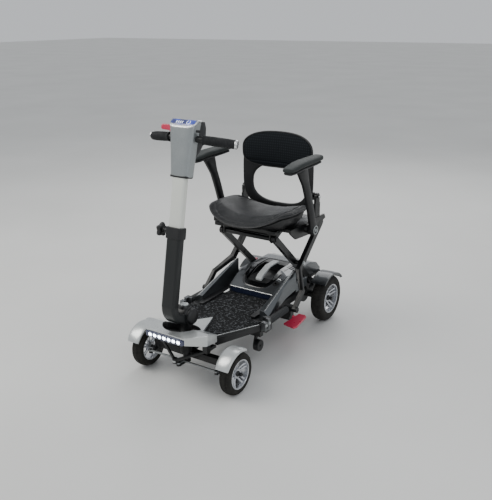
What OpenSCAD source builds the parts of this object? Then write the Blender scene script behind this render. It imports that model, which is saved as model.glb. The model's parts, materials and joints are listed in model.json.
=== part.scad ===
// Folding four-wheel mobility scooter. Front faces -Y, +X is the rider's left, +Z is up.
// Places are written as [x, s, z], where s is the distance behind the front axle.

/* [Wheels] */
// Distance from the front axle to the rear axle
wheelbase = 724; // [720:1:728]
// Front axle's place along Y, with the origin in the middle of the footprint
front_axle_y = -353; // [-356:1:-348]
// Radius of a front tyre
front_r = 78; // [76:0.5:80]
// Width of a front tyre
front_w = 47.5; // [44:0.5:48]
// Distance from the middle plane to the middle of a front tyre
front_x = 199.5; // [199:0.5:202]
// Radius of a rear tyre
rear_r = 101.5; // [99:0.5:103]
// Width of a rear tyre
rear_w = 60.6; // [56:0.2:61]
// Distance from the middle plane to the middle of a rear tyre
rear_x = 181.7; // [181.5:0.1:184]

/* [Chassis] */
// Height of the carpet on the deck
deck_z = 180; // [176:1:182]
// Half width of the deck at its widest
deck_half = 180; // [170:1:182]
// Half width of the middle rear cover
cover_half = 107; // [100:0.5:107]
// Height of the rear cover's crown
cover_top = 266; // [255:1:268]

/* [Scissor] */
// Length of a scissor arm between its end pivots
arm_len = 405; // [400:1:408]
// Angle of the arms above the floor with the seat up
arm_angle = 42; // [41:0.5:43]
// Width of an arm
arm_w = 26; // [22:1:28]
// Height of the lower arm pivots
pivot_z = 176.5; // [175:0.5:178]

/* [Tiller] */
// Backward lean of the stem from the vertical
lean = 11; // [10:0.5:12]
// Width of the upper stem tube
stem_w = 50; // [46:1:52]
// Depth of the upper stem tube
stem_d = 26; // [22:1:28]
// Length of upper stem held inside the lower one
stem_in = 140; // [130:1:145]

/* [Seat] */
// Widest half width of the seat cushion
seat_half = 190; // [180:1:192]
// Radius of the backrest's curve seen from above
back_curve = 420; // [400:5:450]
// Half width of the backrest
back_half = 165; // [155:1:168]
// Distance from the middle plane to the middle of an armrest
armrest_x = 212; // [210:1:214]

/* [Hidden] */
$fn = 48;
fit = 0.05;      // radial clearance of a running fit
gap = 1;         // clearance between moving neighbours
axle_r = 6;      // stub axle of a front wheel
shaft_r = 7;     // shaft of a rear wheel
pin_r = 6;       // scissor and kingpin pins

// scissor pivots [s, z]: lower front, lower rear, crossing, upper front, upper rear
pivot_front_s = 390.5;
span = arm_len * cos(arm_angle);
rise = arm_len * sin(arm_angle);
low_front = [pivot_front_s, pivot_z];
low_rear = [pivot_front_s + span, pivot_z];
crossing = [pivot_front_s + span / 2, pivot_z + rise / 2];
top_front = [pivot_front_s, pivot_z + rise];
top_rear = [pivot_front_s + span, pivot_z + rise];
pedal_pivot = [470, 100];
lever_pivot = [690, 206];
lever_in = 132;      // inner face of the freewheel lever
fold_travel = arm_len * (cos(arm_angle - 22) - cos(arm_angle));
inner_arm_x = 114;   // inner face of an inner arm
inner_arm_t = 16;
outer_arm_x = 150;   // inner face of an outer arm's upper part
outer_arm_t = 18;
outer_foot_x = 205;  // inner face of an outer arm's foot
outer_foot_t = 14;
kink_low = 81;       // distances of the two bends from the lower front pivot
kink_high = 168;

// steering
column_s = -22;
steer_arm = 45;
kingpin_x = 150;
tie_z = 87;
head_pivot_z = 262;

// stem: a point on its axis, and the bend at its foot
stem_s = -94.8;
stem_z = 350;
bend_r = 52;
bend_z = head_pivot_z + bend_r;
bend_start_z = bend_z + bend_r * sin(lean);
bend_start_s = stem_s + (bend_start_z - stem_z) * tan(lean);
collar_t = 245;      // collar height along the stem
console_t = 415;     // underside of the console along the stem
bar_t = 543;         // handlebar height along the stem
bar_y = 7;
lever_x = -57;       // throttle lever's pivot

// seat
armrest_pivot = [530, 465];
armrest_top = [425, 722];
back_hinge = [632, 570];

function at(x, s, z) = [x, front_axle_y + s, z];
function on_arm(d) = low_front + d * [cos(arm_angle), sin(arm_angle)];

// Children on the side named by dir: 1 for left, -1 for right
module side(dir) { mirror([dir < 0 ? 1 : 0, 0, 0]) children(); }
module both_sides() { children(); mirror([1, 0, 0]) children(); }

// Local Z along the line from a to b
module along(a, b) {
    v = b - a;
    translate(a) rotate([0, acos(v[2] / norm(v)), atan2(v[1], v[0])]) children();
}
module rod(a, b, r) { along(a, b) cylinder(r = r, h = norm(b - a)); }
module block(low, high) { translate(low) cube(high - low); }

// Cylinder along X from x0 to x1 round the point [s, z]
module x_pin(x0, x1, p, r) {
    translate(at(x0, p[0], p[1])) rotate([0, 90, 0]) cylinder(r = r, h = x1 - x0);
}
// Sheet of thickness x1 - x0 in the side view; its outline is in [s, z]
module side_sheet(x0, x1) {
    translate(at(x0, 0, 0)) rotate([90, 0, 90]) linear_extrude(x1 - x0) children();
}
// Sheet of thickness z1 - z0 in the top view; its outline is in [x, s]
module top_sheet(z0, z1) {
    translate(at(0, 0, z0)) linear_extrude(z1 - z0) children();
}
// Straight link with round ends, in 2-D; the ends are a little proud, so no face is tangent to another
module link(a, b, w) {
    v = b - a;
    translate(a) rotate(atan2(v[1], v[0])) translate([0, -w / 2]) square([norm(v), w]);
    for (p = [a, b]) translate(p) circle(d = 1.02 * w);
}
// Rectangle with round corners, in 2-D, centred
module round_rect(w, h, r) {
    square([w - 2 * r, h], center = true);
    square([w, h - 2 * r], center = true);
    for (x = [-1, 1], y = [-1, 1]) translate([x * (w / 2 - r), y * (h / 2 - r)]) circle(r = r);
}
// Ring round the X axis: profile is [radius, x] measured from the wheel's middle plane
module wheel_turn(x, s, r, a0 = 0, a1 = 360) {
    translate(at(x, s, r)) rotate([0, 90, 0]) rotate([0, 0, a0])
        rotate_extrude(angle = a1 - a0, $fn = 96) children();
}
// Children in the stem's own frame: origin on its axis, Z up the stem
module on_stem() { translate(at(0, stem_s, stem_z)) rotate([-lean, 0, 0]) children(); }

// ---- Chassis ----
module front_frame() color("#1A1C1E") {
    difference() {
        union() {
            block(at(-24, 4, 119), at(24, 216, 150));
            translate(at(0, column_s, 119)) cylinder(r = 22, h = 114);
            block(at(-kingpin_x, -10, 90), at(kingpin_x, 14, 116));
            block(at(-24, -20, 98), at(24, 14, 119));
            both_sides() translate(at(kingpin_x, 0, 90)) cylinder(r = 14, h = 26);
            block(at(-178, 196, 128), at(178, 216, 150));
        }
        translate(at(0, column_s, 80)) cylinder(r = 12 + fit, h = 160);
        both_sides() translate(at(kingpin_x, 0, 80)) cylinder(r = pin_r + fit, h = 60);
    }
}

module rear_frame() color("#1A1C1E") difference() {
    union() {
        both_sides() {
            block(at(87, 216, 120), at(107.5, 790, 150));
            side_sheet(107.5, 112.5) polygon([[668, 120], [800, 120], [800, 192], [668, 192]]);
        }
        block(at(-87, 380, 126), at(87, 400, 148));
        block(at(-87, 640, 126), at(87, 656, 148));
        block(at(-87, 774, 126), at(87, 790, 148));
        // pivot of the fold pedal
        block(at(107.5, pedal_pivot[0] - 10, 94), at(116, pedal_pivot[0] + 10, 130));
        x_pin(107.5, 156, pedal_pivot, 5);
    }
    // slots in which the inner arms' lower pins run backward
    both_sides() side_sheet(100, 120)
        link(low_rear, low_rear + [fold_travel + 1, 0], 2 * pin_r + 1.2);
}

deck_outline = [[120, 4], [150, 90], [deck_half, 196], [deck_half, 214], [132, 222], [132, 376], [104, 404]];
module deck_shape(inset) {
    polygon(concat([for (p = deck_outline) [p[0] - inset, p[1]]],
        [for (i = [len(deck_outline) - 1:-1:0]) [inset - deck_outline[i][0], deck_outline[i][1]]]));
}
// Layer of the deck between two depths below the carpet's top; the front part rises to the bumper
module deck_layer(inset, top, bottom) intersection() {
    top_sheet(120, 220) deck_shape(inset);
    side_sheet(-200, 200) polygon([[0, deck_z + 16 - top], [180, deck_z - top], [420, deck_z - top],
        [420, deck_z - bottom], [180, deck_z - bottom], [0, deck_z + 16 - bottom]]);
}
module head_room(r) translate(at(0, column_s, 120)) cylinder(r = r, h = 120);
module deck_panel() color("#202225") {
    difference() {
        deck_layer(0, 4, 10);
        head_room(30);
    }
    // deep side panels from the bumper to the hinges
    both_sides() hull() {
        block(at(110, 4, 162), at(120, 8, deck_z + 18));
        block(at(170, 190, 156), at(deck_half, 196, deck_z));
    }
}
module deck_mat() color("#2B2C2E") difference() {
    deck_layer(14, 0, 4);
    head_room(58);
    top_sheet(deck_z - 5, deck_z + 30) polygon([[-66, 0], [66, 0], [0, 146]]);
}

module bumper() color("#C9CCCB") difference() {
    union() {
        hull() {
            block(at(-83, -136, 209), at(83, -130, 235));
            both_sides() translate(at(124, -72, 196)) cylinder(r = 12, h = 38, $fn = 24);
            both_sides() block(at(100, -4, 178), at(122, 0, 206));
        }
        // tongue that runs back over the carpet
        hull() {
            block(at(-62, -1, 196), at(62, 1, 205));
            translate(at(0, 138, deck_z + 0.2)) cylinder(r = 3, h = 8, $fn = 16);
        }
    }
    // round recess under the stem, and the lamp's seat
    translate(at(0, -38, 100)) cylinder(r = 56, h = 200);
    block(at(-84, -137, 205), at(84, -131, 230));
    // hollow underneath
    hull() {
        block(at(-76, -120, 170), at(76, -118, 222));
        both_sides() block(at(96, -72, 170), at(120, -66, 220));
        both_sides() block(at(90, -5, 170), at(112, -4.5, 196));
    }
}
module headlight() color("#1B2440") block(at(-82.5, -140, 206), at(82.5, -131, 229));

module guard_bar() color("#17181A") {
    rod(at(0, -87, 109), at(100, -36, 150), 6);
    rod(at(0, -87, 109), at(-100, -36, 150), 6);
    translate(at(0, -87, 100)) cylinder(r = 10, h = 18);
    both_sides() block(at(92, -46, 146), at(112, -26, 177.5));
    both_sides() block(at(92, -32, 150), at(112, 4, 162));
    both_sides() block(at(100, 4, 150), at(112, 10, 157));
}

module hinge_brackets() color("#B9BCBC") both_sides() difference() {
    union() {
        block(at(180.5, 196, 156), at(200, 214, 190));
        block(at(166, 220, 152), at(198, 236, 196));
        x_pin(181, 204, [217, 166], 7);
    }
    block(at(160, 219, 158), at(184, 230, 197));
}

module side_rails() color("#1A1C1E") both_sides() {
    block(at(107.5, 236, 130), at(124, 260, 148));
    block(at(124, 236, 130), at(180, 260, 148));
    block(at(172, 236, 148), at(198, 246, 196));
    rod(at(186, 246, 178), at(186, 384, 178), 6);
    // arm and axle of the trolley wheel
    side_sheet(131, 138) link([226, 76], [246, 138], 16);
    x_pin(131, 163, [226, 76], 5);
    block(at(107.5, 380, 130), at(196, 402, 146));
    block(at(172, 378, 146), at(203, 403, 190));
    x_pin(203, 226, low_front, pin_r);
    x_pin(outer_foot_x + outer_foot_t + 1, 227, low_front, 11);
}

bellows_rings = 16;
module rail_bellows() color("#1C1D1F") both_sides() for (i = [0:bellows_rings - 1])
    translate(at(186, 247 + i * 8, 178)) rotate([-90, 0, 0]) {
        difference() {
            union() {
                cylinder(r = 10.5, h = 8, $fn = 32);
                translate([0, 0, 2]) cylinder(r = 13, h = 4, $fn = 32);
            }
            translate([0, 0, -1]) cylinder(r = 6.5, h = 10, $fn = 32);
        }
    }

cover_side = [[408, 178], [408, 204], [470, 238], [540, cover_top - 6], [600, cover_top],
    [700, cover_top - 10], [770, cover_top - 30], [806, cover_top - 64], [806, 178]];
module cover_solid(inset) intersection() {
    side_sheet(-cover_half + inset, cover_half - inset) offset(delta = -inset) polygon(cover_side);
    translate(at(0, 400, cover_top - 400 - inset)) rotate([-90, 0, 0]) cylinder(r = 400, h = 420, $fn = 180);
}
module battery_hole(clear) block(at(-56 - clear, 452 - clear, 150), at(56 + clear, 640 + clear, 290));
module rear_cover() color("#6E7173") difference() {
    cover_solid(0);
    difference() {
        cover_solid(4);
        block(at(-120, 400, 170), at(120, 416, 200));
    }
    block(at(-cover_half + 4, 412, 170), at(cover_half - 4, 802, 182.1));
    battery_hole(gap);
    on_slope() translate([0, 0, -30]) cylinder(r = 15.3, h = 60);
}
// Frame on the cover's front slope, at the charging socket
module on_slope() { translate(at(84, 462, 233)) rotate([28.7, 0, 0]) children(); }
module charge_port() color("#101114") on_slope() difference() {
    translate([0, 0, -22]) cylinder(r = 15, h = 23);
    translate([0, 0, -12]) cylinder(r = 5, h = 30);
}

fairing_front = [[134, 168], [171, 168], [171, 190], [152, 203], [134, 203]];
fairing_mid = [[134, 190], [147, 190], [147, 250], [142, 262], [134, 262]];
fairing_back = [[134, 200], [147, 200], [147, 272], [140, 284], [134, 284]];
module cross_section(s, outline) translate(at(0, s, 0)) rotate([90, 0, 0]) linear_extrude(0.5) polygon(outline);
module fairing(dir) color("#A3A6A6") side(dir) {
    hull() {
        cross_section(260, fairing_front);
        cross_section(440, fairing_mid);
    }
    hull() {
        cross_section(440, fairing_mid);
        cross_section(520, fairing_back);
    }
    block(at(134, 519.5, 188), at(147, 612, 226));
}
module rear_fenders() color("#4A4D50") {
    inner = rear_x - 36.5;
    both_sides() {
        wheel_turn(rear_x, wheelbase, rear_r, 130, 222) translate([112, -34]) square([4, 68]);
        side_sheet(inner, inner + 3) difference() {
            translate([wheelbase, rear_r]) circle(r = 114, $fn = 96);
            translate([wheelbase, rear_r]) circle(r = 84, $fn = 96);
            translate([500, -20]) square([400, 188]);
        }
        block(at(112.5, 788, 178), at(inner, 800, 190));
    }
    side(-1) x_pin(lever_in - 2, inner, lever_pivot, 3);
}

module transaxle() color("#26282B") {
    x_pin(-80, 80, [wheelbase, rear_r], 42);
    x_pin(-148, 148, [wheelbase, rear_r], 15);
    x_pin(-213, 213, [wheelbase, rear_r], shaft_r);
    block(at(-60, 640, 90), at(60, 700, 126));
}

module rear_bumper() color("#1A1C1E") both_sides() {
    side_sheet(72, 80) link([784, 116], [826, 32], 18);
    block(at(72, 774, 110), at(87, 792, 126));
    x_pin(72, 108, [826, 32], 4);
}
module anti_tip_wheels() color("#17181A") both_sides() difference() {
    x_pin(82, 104, [826, 32], 20);
    x_pin(80, 106, [826, 32], 4 + fit);
}

module battery_pack() color("#141518") difference() {
    block(at(-55, 453, 152), at(55, 639, 262));
    // sloped top, with a hand recess under the handle
    side_sheet(-60, 60) polygon([[440, 215], [540, 257], [650, 263], [650, 300], [440, 300]]);
    block(at(-50, 488, 232), at(50, 598, 290));
}
module battery_handle() color("#C4C7C6") side_sheet(-14, 14)
    polygon([[466, 225.92], [480, 231.8], [488, 242], [540, 262], [594, 266], [600, 260.27], [612, 260.93],
        [606, 273], [540, 271], [482, 251], [464, 237]]);

module fold_pedal() color("#C4274B") difference() {
    union() {
        top_sheet(96, 104) polygon([[164, 394], [214, 383], [221, 398], [207, 500], [196, 508], [171, 506]]);
        x_pin(128, 164.5, pedal_pivot, 10);
        block(at(150, 462, 94), at(172, 478, 104));
    }
    x_pin(120, 158, pedal_pivot, 5 + fit);
}
module freewheel_lever() color("#C4274B") side(-1) difference() {
    union() {
        x_pin(lever_in, lever_in + 10, lever_pivot, 9);
        side_sheet(lever_in + 1, lever_in + 9) link(lever_pivot, lever_pivot + [-28, 20], 12);
        block(at(lever_in - 1, 650, 226), at(lever_in + 11, 668, 240));
    }
    x_pin(lever_in - 5, lever_in + 15, lever_pivot, 3 + fit);
}

module trolley_wheel(dir) color("#1B1A18") side(dir) difference() {
    x_pin(139, 161, [226, 76], 22.5);
    x_pin(130, 170, [226, 76], 5 + fit);
}

// ---- Steering ----
module steering_column() color("#1A1C1E") difference() {
    union() {
        translate(at(0, column_s, 76)) cylinder(r = 12, h = 165);
        translate(at(0, column_s, 234)) cylinder(r = 25, h = 6);
        translate(at(0, column_s, 80)) cylinder(r = 16, h = 6);
        block(at(-9, column_s - steer_arm, 80), at(9, column_s, 86));
        translate(at(0, column_s - steer_arm, 80)) cylinder(r = 9, h = 6);
        translate(at(0, column_s - steer_arm, 86)) cylinder(r = 4, h = 8);
        intersection() {
            x_pin(-25.5, 25.5, [column_s, head_pivot_z], 24);
            block(at(-26, column_s - 24, 239), at(26, column_s + 24, 290));
        }
        translate(at(0, column_s, 282)) cylinder(r = 13, h = 10);
    }
    x_pin(-30, 30, [column_s, head_pivot_z], pin_r + fit);
}
module tie_rod() color("#8E9192") difference() {
    union() {
        block(at(-kingpin_x, -steer_arm - 4, tie_z), at(kingpin_x, -steer_arm + 2.5, tie_z + 6));
        block(at(-7, column_s - steer_arm, tie_z), at(7, -steer_arm, tie_z + 6));
        for (p = [[-kingpin_x, -steer_arm], [kingpin_x, -steer_arm], [0, column_s - steer_arm]])
            translate(at(p[0], p[1], tie_z)) cylinder(r = 8, h = 6);
    }
    for (x = [-kingpin_x, kingpin_x]) translate(at(x, -steer_arm, 80)) cylinder(r = 4 + 0.3, h = 20);
    translate(at(0, column_s - steer_arm, 80)) cylinder(r = 4 + fit, h = 20);
}
module knuckle(dir) color("#2A2C2E") side(dir) {
    translate(at(kingpin_x, 0, 66)) cylinder(r = pin_r, h = 60);
    translate(at(kingpin_x, 0, 66)) cylinder(r = 12, h = 23);
    translate(at(kingpin_x, 0, 117)) cylinder(r = 12, h = 7);
    x_pin(kingpin_x, 226, [0, front_r], axle_r);
    x_pin(kingpin_x, 171, [0, front_r], 9);
    block(at(kingpin_x - 7, -steer_arm, 80), at(kingpin_x + 7, 0, 86));
    translate(at(kingpin_x, -steer_arm, 80)) cylinder(r = 8, h = 6);
    translate(at(kingpin_x, -steer_arm, 86)) cylinder(r = 4, h = 9);
    // stay that carries the fender
    block(at(kingpin_x + 2, -7, 122), at(kingpin_x + 14, 7, 130));
    side_sheet(161, 166) link([0, 134], [0, 158], 16);
}
fender_r = 92;
module front_fender(dir) color("#C9CCCB") side(dir) {
    translate(at(front_x, -8, front_r + 6)) rotate([0, 90, 0]) rotate([0, 0, 180 - 22])
        rotate_extrude(angle = 80, $fn = 96) polygon([[fender_r - 3, -29], [fender_r - 1, -29],
            [fender_r + 1, -18], [fender_r + 2, 0], [fender_r + 1, 18], [fender_r - 1, 29],
            [fender_r - 3, 29], [fender_r - 2, 0]]);
    block(at(166, -8, 150), at(173, 8, 174));
}

// Tyre of radius r and width w on a rim of radius rim
module tyre(x, s, r, w, rim) color("#1B1A18") wheel_turn(x, s, r)
    polygon([[rim, -w * 0.36], [rim + 4, -w * 0.44], [r - 16, -w / 2], [r - 8, -w * 0.47], [r - 2, -w * 0.34],
        [r, -w * 0.18], [r, w * 0.18], [r - 2, w * 0.34], [r - 8, w * 0.47], [r - 16, w / 2],
        [rim + 4, w * 0.44], [rim, w * 0.36]]);
// Rim with five spokes; dish is how far the spokes lie inside the outer face
module rim(x, s, r, w, rim, bore, dir) color("#C6C8CC") difference() {
    union() {
        wheel_turn(x, s, r) polygon([[rim - 5, -w * 0.36], [rim, -w * 0.36], [rim, w * 0.36],
            [rim - 5, w * 0.36], [rim - 7, w * 0.3], [rim - 7, -w * 0.3]]);
        for (a = [0:72:288]) translate(at(x, s, r)) rotate([a, 0, 0])
            translate([dir * w * 0.18 - w * 0.1, -6, 10]) cube([w * 0.2, 12, rim - 15.5]);
        translate(at(x - w * 0.4, s, r)) rotate([0, 90, 0]) cylinder(r = 16, h = w * 0.8);
    }
    translate(at(x - w, s, r)) rotate([0, 90, 0]) cylinder(r = bore + fit, h = 2 * w);
}

// ---- Tiller ----
module stem_outline(clear, r) round_rect(stem_w + 2 * clear, stem_d + 2 * clear, r);
module lower_stem() color("#1E2224") {
    bend_start_t = (bend_start_z - stem_z) / cos(lean);
    on_stem() difference() {
        union() {
            translate([0, 0, bend_start_t - 4]) linear_extrude(collar_t - bend_start_t - 25) round_rect(56, 34, 9);
            translate([0, 0, collar_t - 30]) linear_extrude(30) round_rect(60, 38, 10);
            translate([-46, 0, collar_t - 16]) rotate([0, 90, 0]) rotate([0, 0, 20]) cylinder(r = 9, h = 18);
        }
        translate([0, 0, bend_start_t + 10]) linear_extrude(400) stem_outline(0.3, 6.3);
        translate([-50, 0, collar_t - 16]) rotate([0, 90, 0]) rotate([0, 0, 40]) cylinder(r = 4 + fit, h = 27);
    }
    bend_s = bend_start_s + bend_r * cos(lean);
    difference() {
        union() {
            translate(at(0, bend_s, bend_z)) rotate([0, 90, 0]) rotate([0, 0, -90 - lean])
                rotate_extrude(angle = 90 + lean, $fn = 96) translate([bend_r, 0]) round_rect(33, 55, 9);
            block(at(-32, bend_s - 3, head_pivot_z - 16), at(32, column_s, head_pivot_z + 16));
            x_pin(-36, 36, [column_s, head_pivot_z], 23);
        }
        x_pin(-26, 26, [column_s, head_pivot_z], 34);
        block(at(-26, column_s - 5, 200), at(26, column_s + 60, 320));
    }
    x_pin(-36, 36, [column_s, head_pivot_z], pin_r);
}
module clamp_knob() color("#141518") on_stem() translate([-47, 0, collar_t - 16]) rotate([0, -90, 0]) {
    cylinder(r = 10, h = 10);
    translate([0, 0, 10]) cylinder(r = 13, h = 14);
    for (a = [36:72:324]) rotate([0, 0, a]) translate([13, 0, 11]) cylinder(r = 6, h = 12);
    translate([0, 0, -17]) cylinder(r = 4, h = 19);
}
module upper_stem() color("#D0D2CC") on_stem()
    translate([0, 0, collar_t - stem_in]) linear_extrude(console_t - collar_t + stem_in + 40) stem_outline(0, 6);

module console_section(t, w, y0, y1) translate([-w, y0, t]) cube([2 * w, y1 - y0, 1]);
bar_root = [40, bar_y, bar_t];
bar_end = [176, 53, bar_t - 5];
module bar_path(r) {
    rod([-42, bar_y, bar_t], [42, bar_y, bar_t], r + 1.5);
    both_sides() rod(bar_root, bar_end, r);
}
console_top = [[-23, 163], [-2, 186], [24, 186]];   // [y, height over the console's underside]
module console_front() color("#9EA3A4") on_stem() difference() {
    union() {
        hull() {
            console_section(console_t, 35, -16, 24);
            console_section(console_t + 100, 42, -20, 24);
            console_section(console_t + console_top[0][1] - 1, 50, console_top[0][0], 24);
            console_section(console_t + console_top[1][1] - 1, 50, console_top[1][0], 24);
        }
        // pivot of the throttle lever
        translate([-64, bar_y - 8, bar_t + 11.5]) cube([20, 16, 2.5]);
        translate([lever_x, bar_y, bar_t + 12]) cylinder(r = 2.5, h = 14);
    }
    translate([0, 0, console_t - 1]) linear_extrude(41.5) stem_outline(0.1, 6.1);
    translate([0, 0, console_t + 44]) linear_extrude(100) square([56, 28], center = true);
    bar_path(11.1);
}
module console_rear() color("#2E3134") on_stem() difference() {
    hull() {
        console_section(console_t + 70, 38, 24, 34);
        console_section(console_t + 110, 46, 24, 62);
        console_section(console_t + 136, 46, 24, 72);
        console_section(console_t + 184, 48, 24, 44);
    }
    bar_path(11.1);
}
module console_panel() color("#2B3FA0") on_stem() translate([-49, 0, console_t]) rotate([90, 0, 90])
    linear_extrude(98) polygon(concat(console_top, [[24, 189], [-3.2, 189], [-26, 164.5]]));
module handlebar() color("#1A1C1E") on_stem() bar_path(11);
module grips() color("#2A2D30") on_stem() both_sides() difference() {
    along(bar_root, bar_end) translate([0, 0, 28]) cylinder(r = 15, h = 115);
    along(bar_root, bar_end) cylinder(r = 11 + fit, h = 160);
}
module throttle_lever() color("#C4274B") on_stem() translate([lever_x, bar_y, bar_t + 14.5]) difference() {
    union() {
        cylinder(r = 6, h = 10);
        translate([0, 0, 3]) rotate(-10) translate([-50, -9, 0]) cube([50, 14, 6]);
    }
    translate([0, 0, -5]) cylinder(r = 2.5 + fit, h = 40);
}

// ---- Scissor ----
module inner_arm(dir) color("#131416") side(dir) {
    difference() {
        side_sheet(inner_arm_x, inner_arm_x + inner_arm_t) {
            link(low_rear, top_front, arm_w);
            translate(top_front) circle(r = 15);
        }
        x_pin(110, 140, crossing, pin_r + fit);
        x_pin(110, 140, top_front, 10);
    }
    x_pin(107.3, inner_arm_x + 1, low_rear, pin_r);
}
module cross_bar() color("#131416") x_pin(-inner_arm_x - inner_arm_t - 3, inner_arm_x + inner_arm_t + 3, top_front, 10);
module outer_arm(dir) color("#131416") side(dir) {
    difference() {
        union() {
            side_sheet(outer_arm_x, outer_arm_x + outer_arm_t) link(on_arm(kink_high), top_rear, arm_w);
            side_sheet(outer_foot_x, outer_foot_x + outer_foot_t) link(low_front, on_arm(kink_low), arm_w - 4);
            hull() {
                x_pin(outer_arm_x + 1, outer_arm_x + outer_arm_t - 1, on_arm(kink_high), arm_w / 2 - 1);
                x_pin(outer_foot_x + 1, outer_foot_x + outer_foot_t - 1, on_arm(kink_low), arm_w / 2 - 3);
            }
        }
        x_pin(outer_foot_x - 1, outer_foot_x + 30, low_front, pin_r + fit);
    }
    // crossing pin, its spacer and the roller at the upper end
    x_pin(inner_arm_x - 2, outer_arm_x + 1, crossing, pin_r);
    x_pin(inner_arm_x + inner_arm_t + gap, outer_arm_x + 1, crossing, 10);
    x_pin(138, outer_arm_x + 1, top_rear, 9);
}

// ---- Seat ----
seat_rail_z = 472;
module seat_frame() color("#17181A") difference() {
    union() {
        both_sides() {
            side_sheet(104, 110) polygon([[378, seat_rail_z], [376, 444], [388, 430], [430, 436],
                [500, seat_rail_z]]);
            block(at(104, 362, seat_rail_z), at(140, 640, seat_rail_z + 14));
            block(at(140, 420, seat_rail_z), at(172, 640, seat_rail_z + 14));
            side_sheet(172, 180) polygon([[410, seat_rail_z], [452, 440], [560, 432], [612, 442], [700, 468],
                [690, seat_rail_z + 14], [410, seat_rail_z + 14]]);
            x_pin(180, 194, armrest_pivot, 17);
            x_pin(194, 222, armrest_pivot, 8);
            // backrest hinge lug
            block(at(168, 612, seat_rail_z + 14), at(178, 652, 545));
            x_pin(168, 178, back_hinge, 16);
            block(at(168, 616, 540), at(178, 648, back_hinge[1]));
            x_pin(150, 184, back_hinge, 5);
        }
        block(at(-104, 363, seat_rail_z + 2), at(104, 378, seat_rail_z + 14));
        block(at(-104, 560, seat_rail_z + 2), at(104, 600, seat_rail_z + 14));
        rod(at(-104, 426, 447), at(104, 426, 447), 5);
        top_sheet(seat_rail_z + 14, seat_rail_z + 20) seat_shape(42);
    }
    x_pin(-120, 120, top_front, 10 + fit);
}
seat_outline = [[60, 312], [120, 322], [158, 350], [180, 400], [seat_half, 460], [186, 530],
    [170, 585], [130, 606], [60, 612]];
module seat_shape(inset) {
    kx = (seat_half - inset) / seat_half;
    ks = (150 - inset) / 150;
    points = [for (p = seat_outline) [p[0] * kx, 462 + (p[1] - 462) * ks]];
    polygon(concat(points, [for (i = [len(points) - 1:-1:0]) [-points[i][0], points[i][1]]]));
}
module seat_cushion() color("#2F3436") difference() {
    top_sheet(seat_rail_z + 20.3, 560) seat_shape(0);
    // saddle: the middle is hollowed along the seat, and the front and back edges fall away
    translate(at(0, 300, 523 + 400)) rotate([-90, 0, 0]) cylinder(r = 400, h = 330, $fn = 180);
    side_sheet(-200, 200) polygon([[300, 520], [340, 520], [440, 562], [300, 562]]);
    side_sheet(-200, 200) polygon([[620, 530], [570, 548], [540, 562], [620, 562]]);
    // room for the backrest lugs
    both_sides() block(at(160, 596, 480), at(200, 660, 580));
}

module back_prism(r0, thick) difference() {
    translate(at(0, 640 - back_curve, 480)) cylinder(r = r0 + thick, h = 360, $fn = 180);
    translate(at(0, 640 - back_curve, 470)) cylinder(r = r0, h = 380, $fn = 180);
}
module front_outline() translate(at(0, 700, 0)) rotate([90, 0, 0]) linear_extrude(120) children();
module backrest_frame() color("#1C1E20") difference() {
    union() {
        intersection() {
            back_prism(back_curve, 10);
            front_outline() difference() {
                union() {
                    translate([0, 665]) round_rect(2 * back_half, 300, 70);
                    translate([0, 560]) round_rect(2 * back_half - 8, 104, 50);
                }
                translate([0, 600]) round_rect(254, 162, 78);
            }
        }
        both_sides() block(at(148, 612, back_hinge[1] - 16), at(161, 640, back_hinge[1] + 16));
    }
    both_sides() x_pin(140, 170, back_hinge, 5 + fit);
}
module backrest_pad() color("#2A2E33") intersection() {
    back_prism(back_curve - 22.3, 22);
    front_outline() difference() {
        translate([0, 733]) round_rect(2 * back_half - 12, 154, 60);
        translate([0, 600]) round_rect(266, 170, 82);
    }
}

module armrest(dir) color("#17181A") side(dir) difference() {
    union() {
        along(at(armrest_x, armrest_pivot[0], armrest_pivot[1]), at(armrest_x, armrest_top[0], armrest_top[1]))
            linear_extrude(norm(armrest_top - armrest_pivot)) round_rect(34, 20, 9);
        x_pin(196, 222, armrest_pivot, 20);
        block(at(armrest_x - 24, 330, 718), at(armrest_x + 24, 548, 732));
    }
    x_pin(190, 230, armrest_pivot, 8 + fit);
}
module armrest_pad(dir) color("#3E4442") side(dir)
    top_sheet(732.2, 758) translate([armrest_x, 441.5]) round_rect(55, 249, 24);

front_frame();
rear_frame();
deck_panel();
deck_mat();
bumper();
headlight();
guard_bar();
hinge_brackets();
rear_cover();
fairing(1);  // fairing_left
fairing(-1);  // fairing_right
rear_fenders();
transaxle();
side_rails();
rail_bellows();
rear_bumper();
charge_port();
battery_pack();
battery_handle();
fold_pedal();
freewheel_lever();
trolley_wheel(1);  // trolley_wheel_left
trolley_wheel(-1);  // trolley_wheel_right
anti_tip_wheels();
steering_column();
tie_rod();
knuckle(1);  // knuckle_left
knuckle(-1);  // knuckle_right
front_fender(1);  // front_fender_left
front_fender(-1);  // front_fender_right
tyre(front_x, 0, front_r, front_w, 53);  // front_tyre_left
tyre(-front_x, 0, front_r, front_w, 53);  // front_tyre_right
rim(front_x, 0, front_r, front_w, 53, axle_r, 1);  // front_rim_left
rim(-front_x, 0, front_r, front_w, 53, axle_r, -1);  // front_rim_right
tyre(rear_x, wheelbase, rear_r, rear_w, 62);  // rear_tyre_left
tyre(-rear_x, wheelbase, rear_r, rear_w, 62);  // rear_tyre_right
rim(rear_x, wheelbase, rear_r, rear_w, 62, shaft_r, 1);  // rear_rim_left
rim(-rear_x, wheelbase, rear_r, rear_w, 62, shaft_r, -1);  // rear_rim_right
lower_stem();
clamp_knob();
upper_stem();
console_front();
console_rear();
console_panel();
handlebar();
grips();
throttle_lever();
inner_arm(1);  // inner_arm_left
inner_arm(-1);  // inner_arm_right
cross_bar();
outer_arm(1);  // outer_arm_left
outer_arm(-1);  // outer_arm_right
seat_frame();
seat_cushion();
backrest_frame();
backrest_pad();
armrest(1);  // armrest_left
armrest(-1);  // armrest_right
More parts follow.
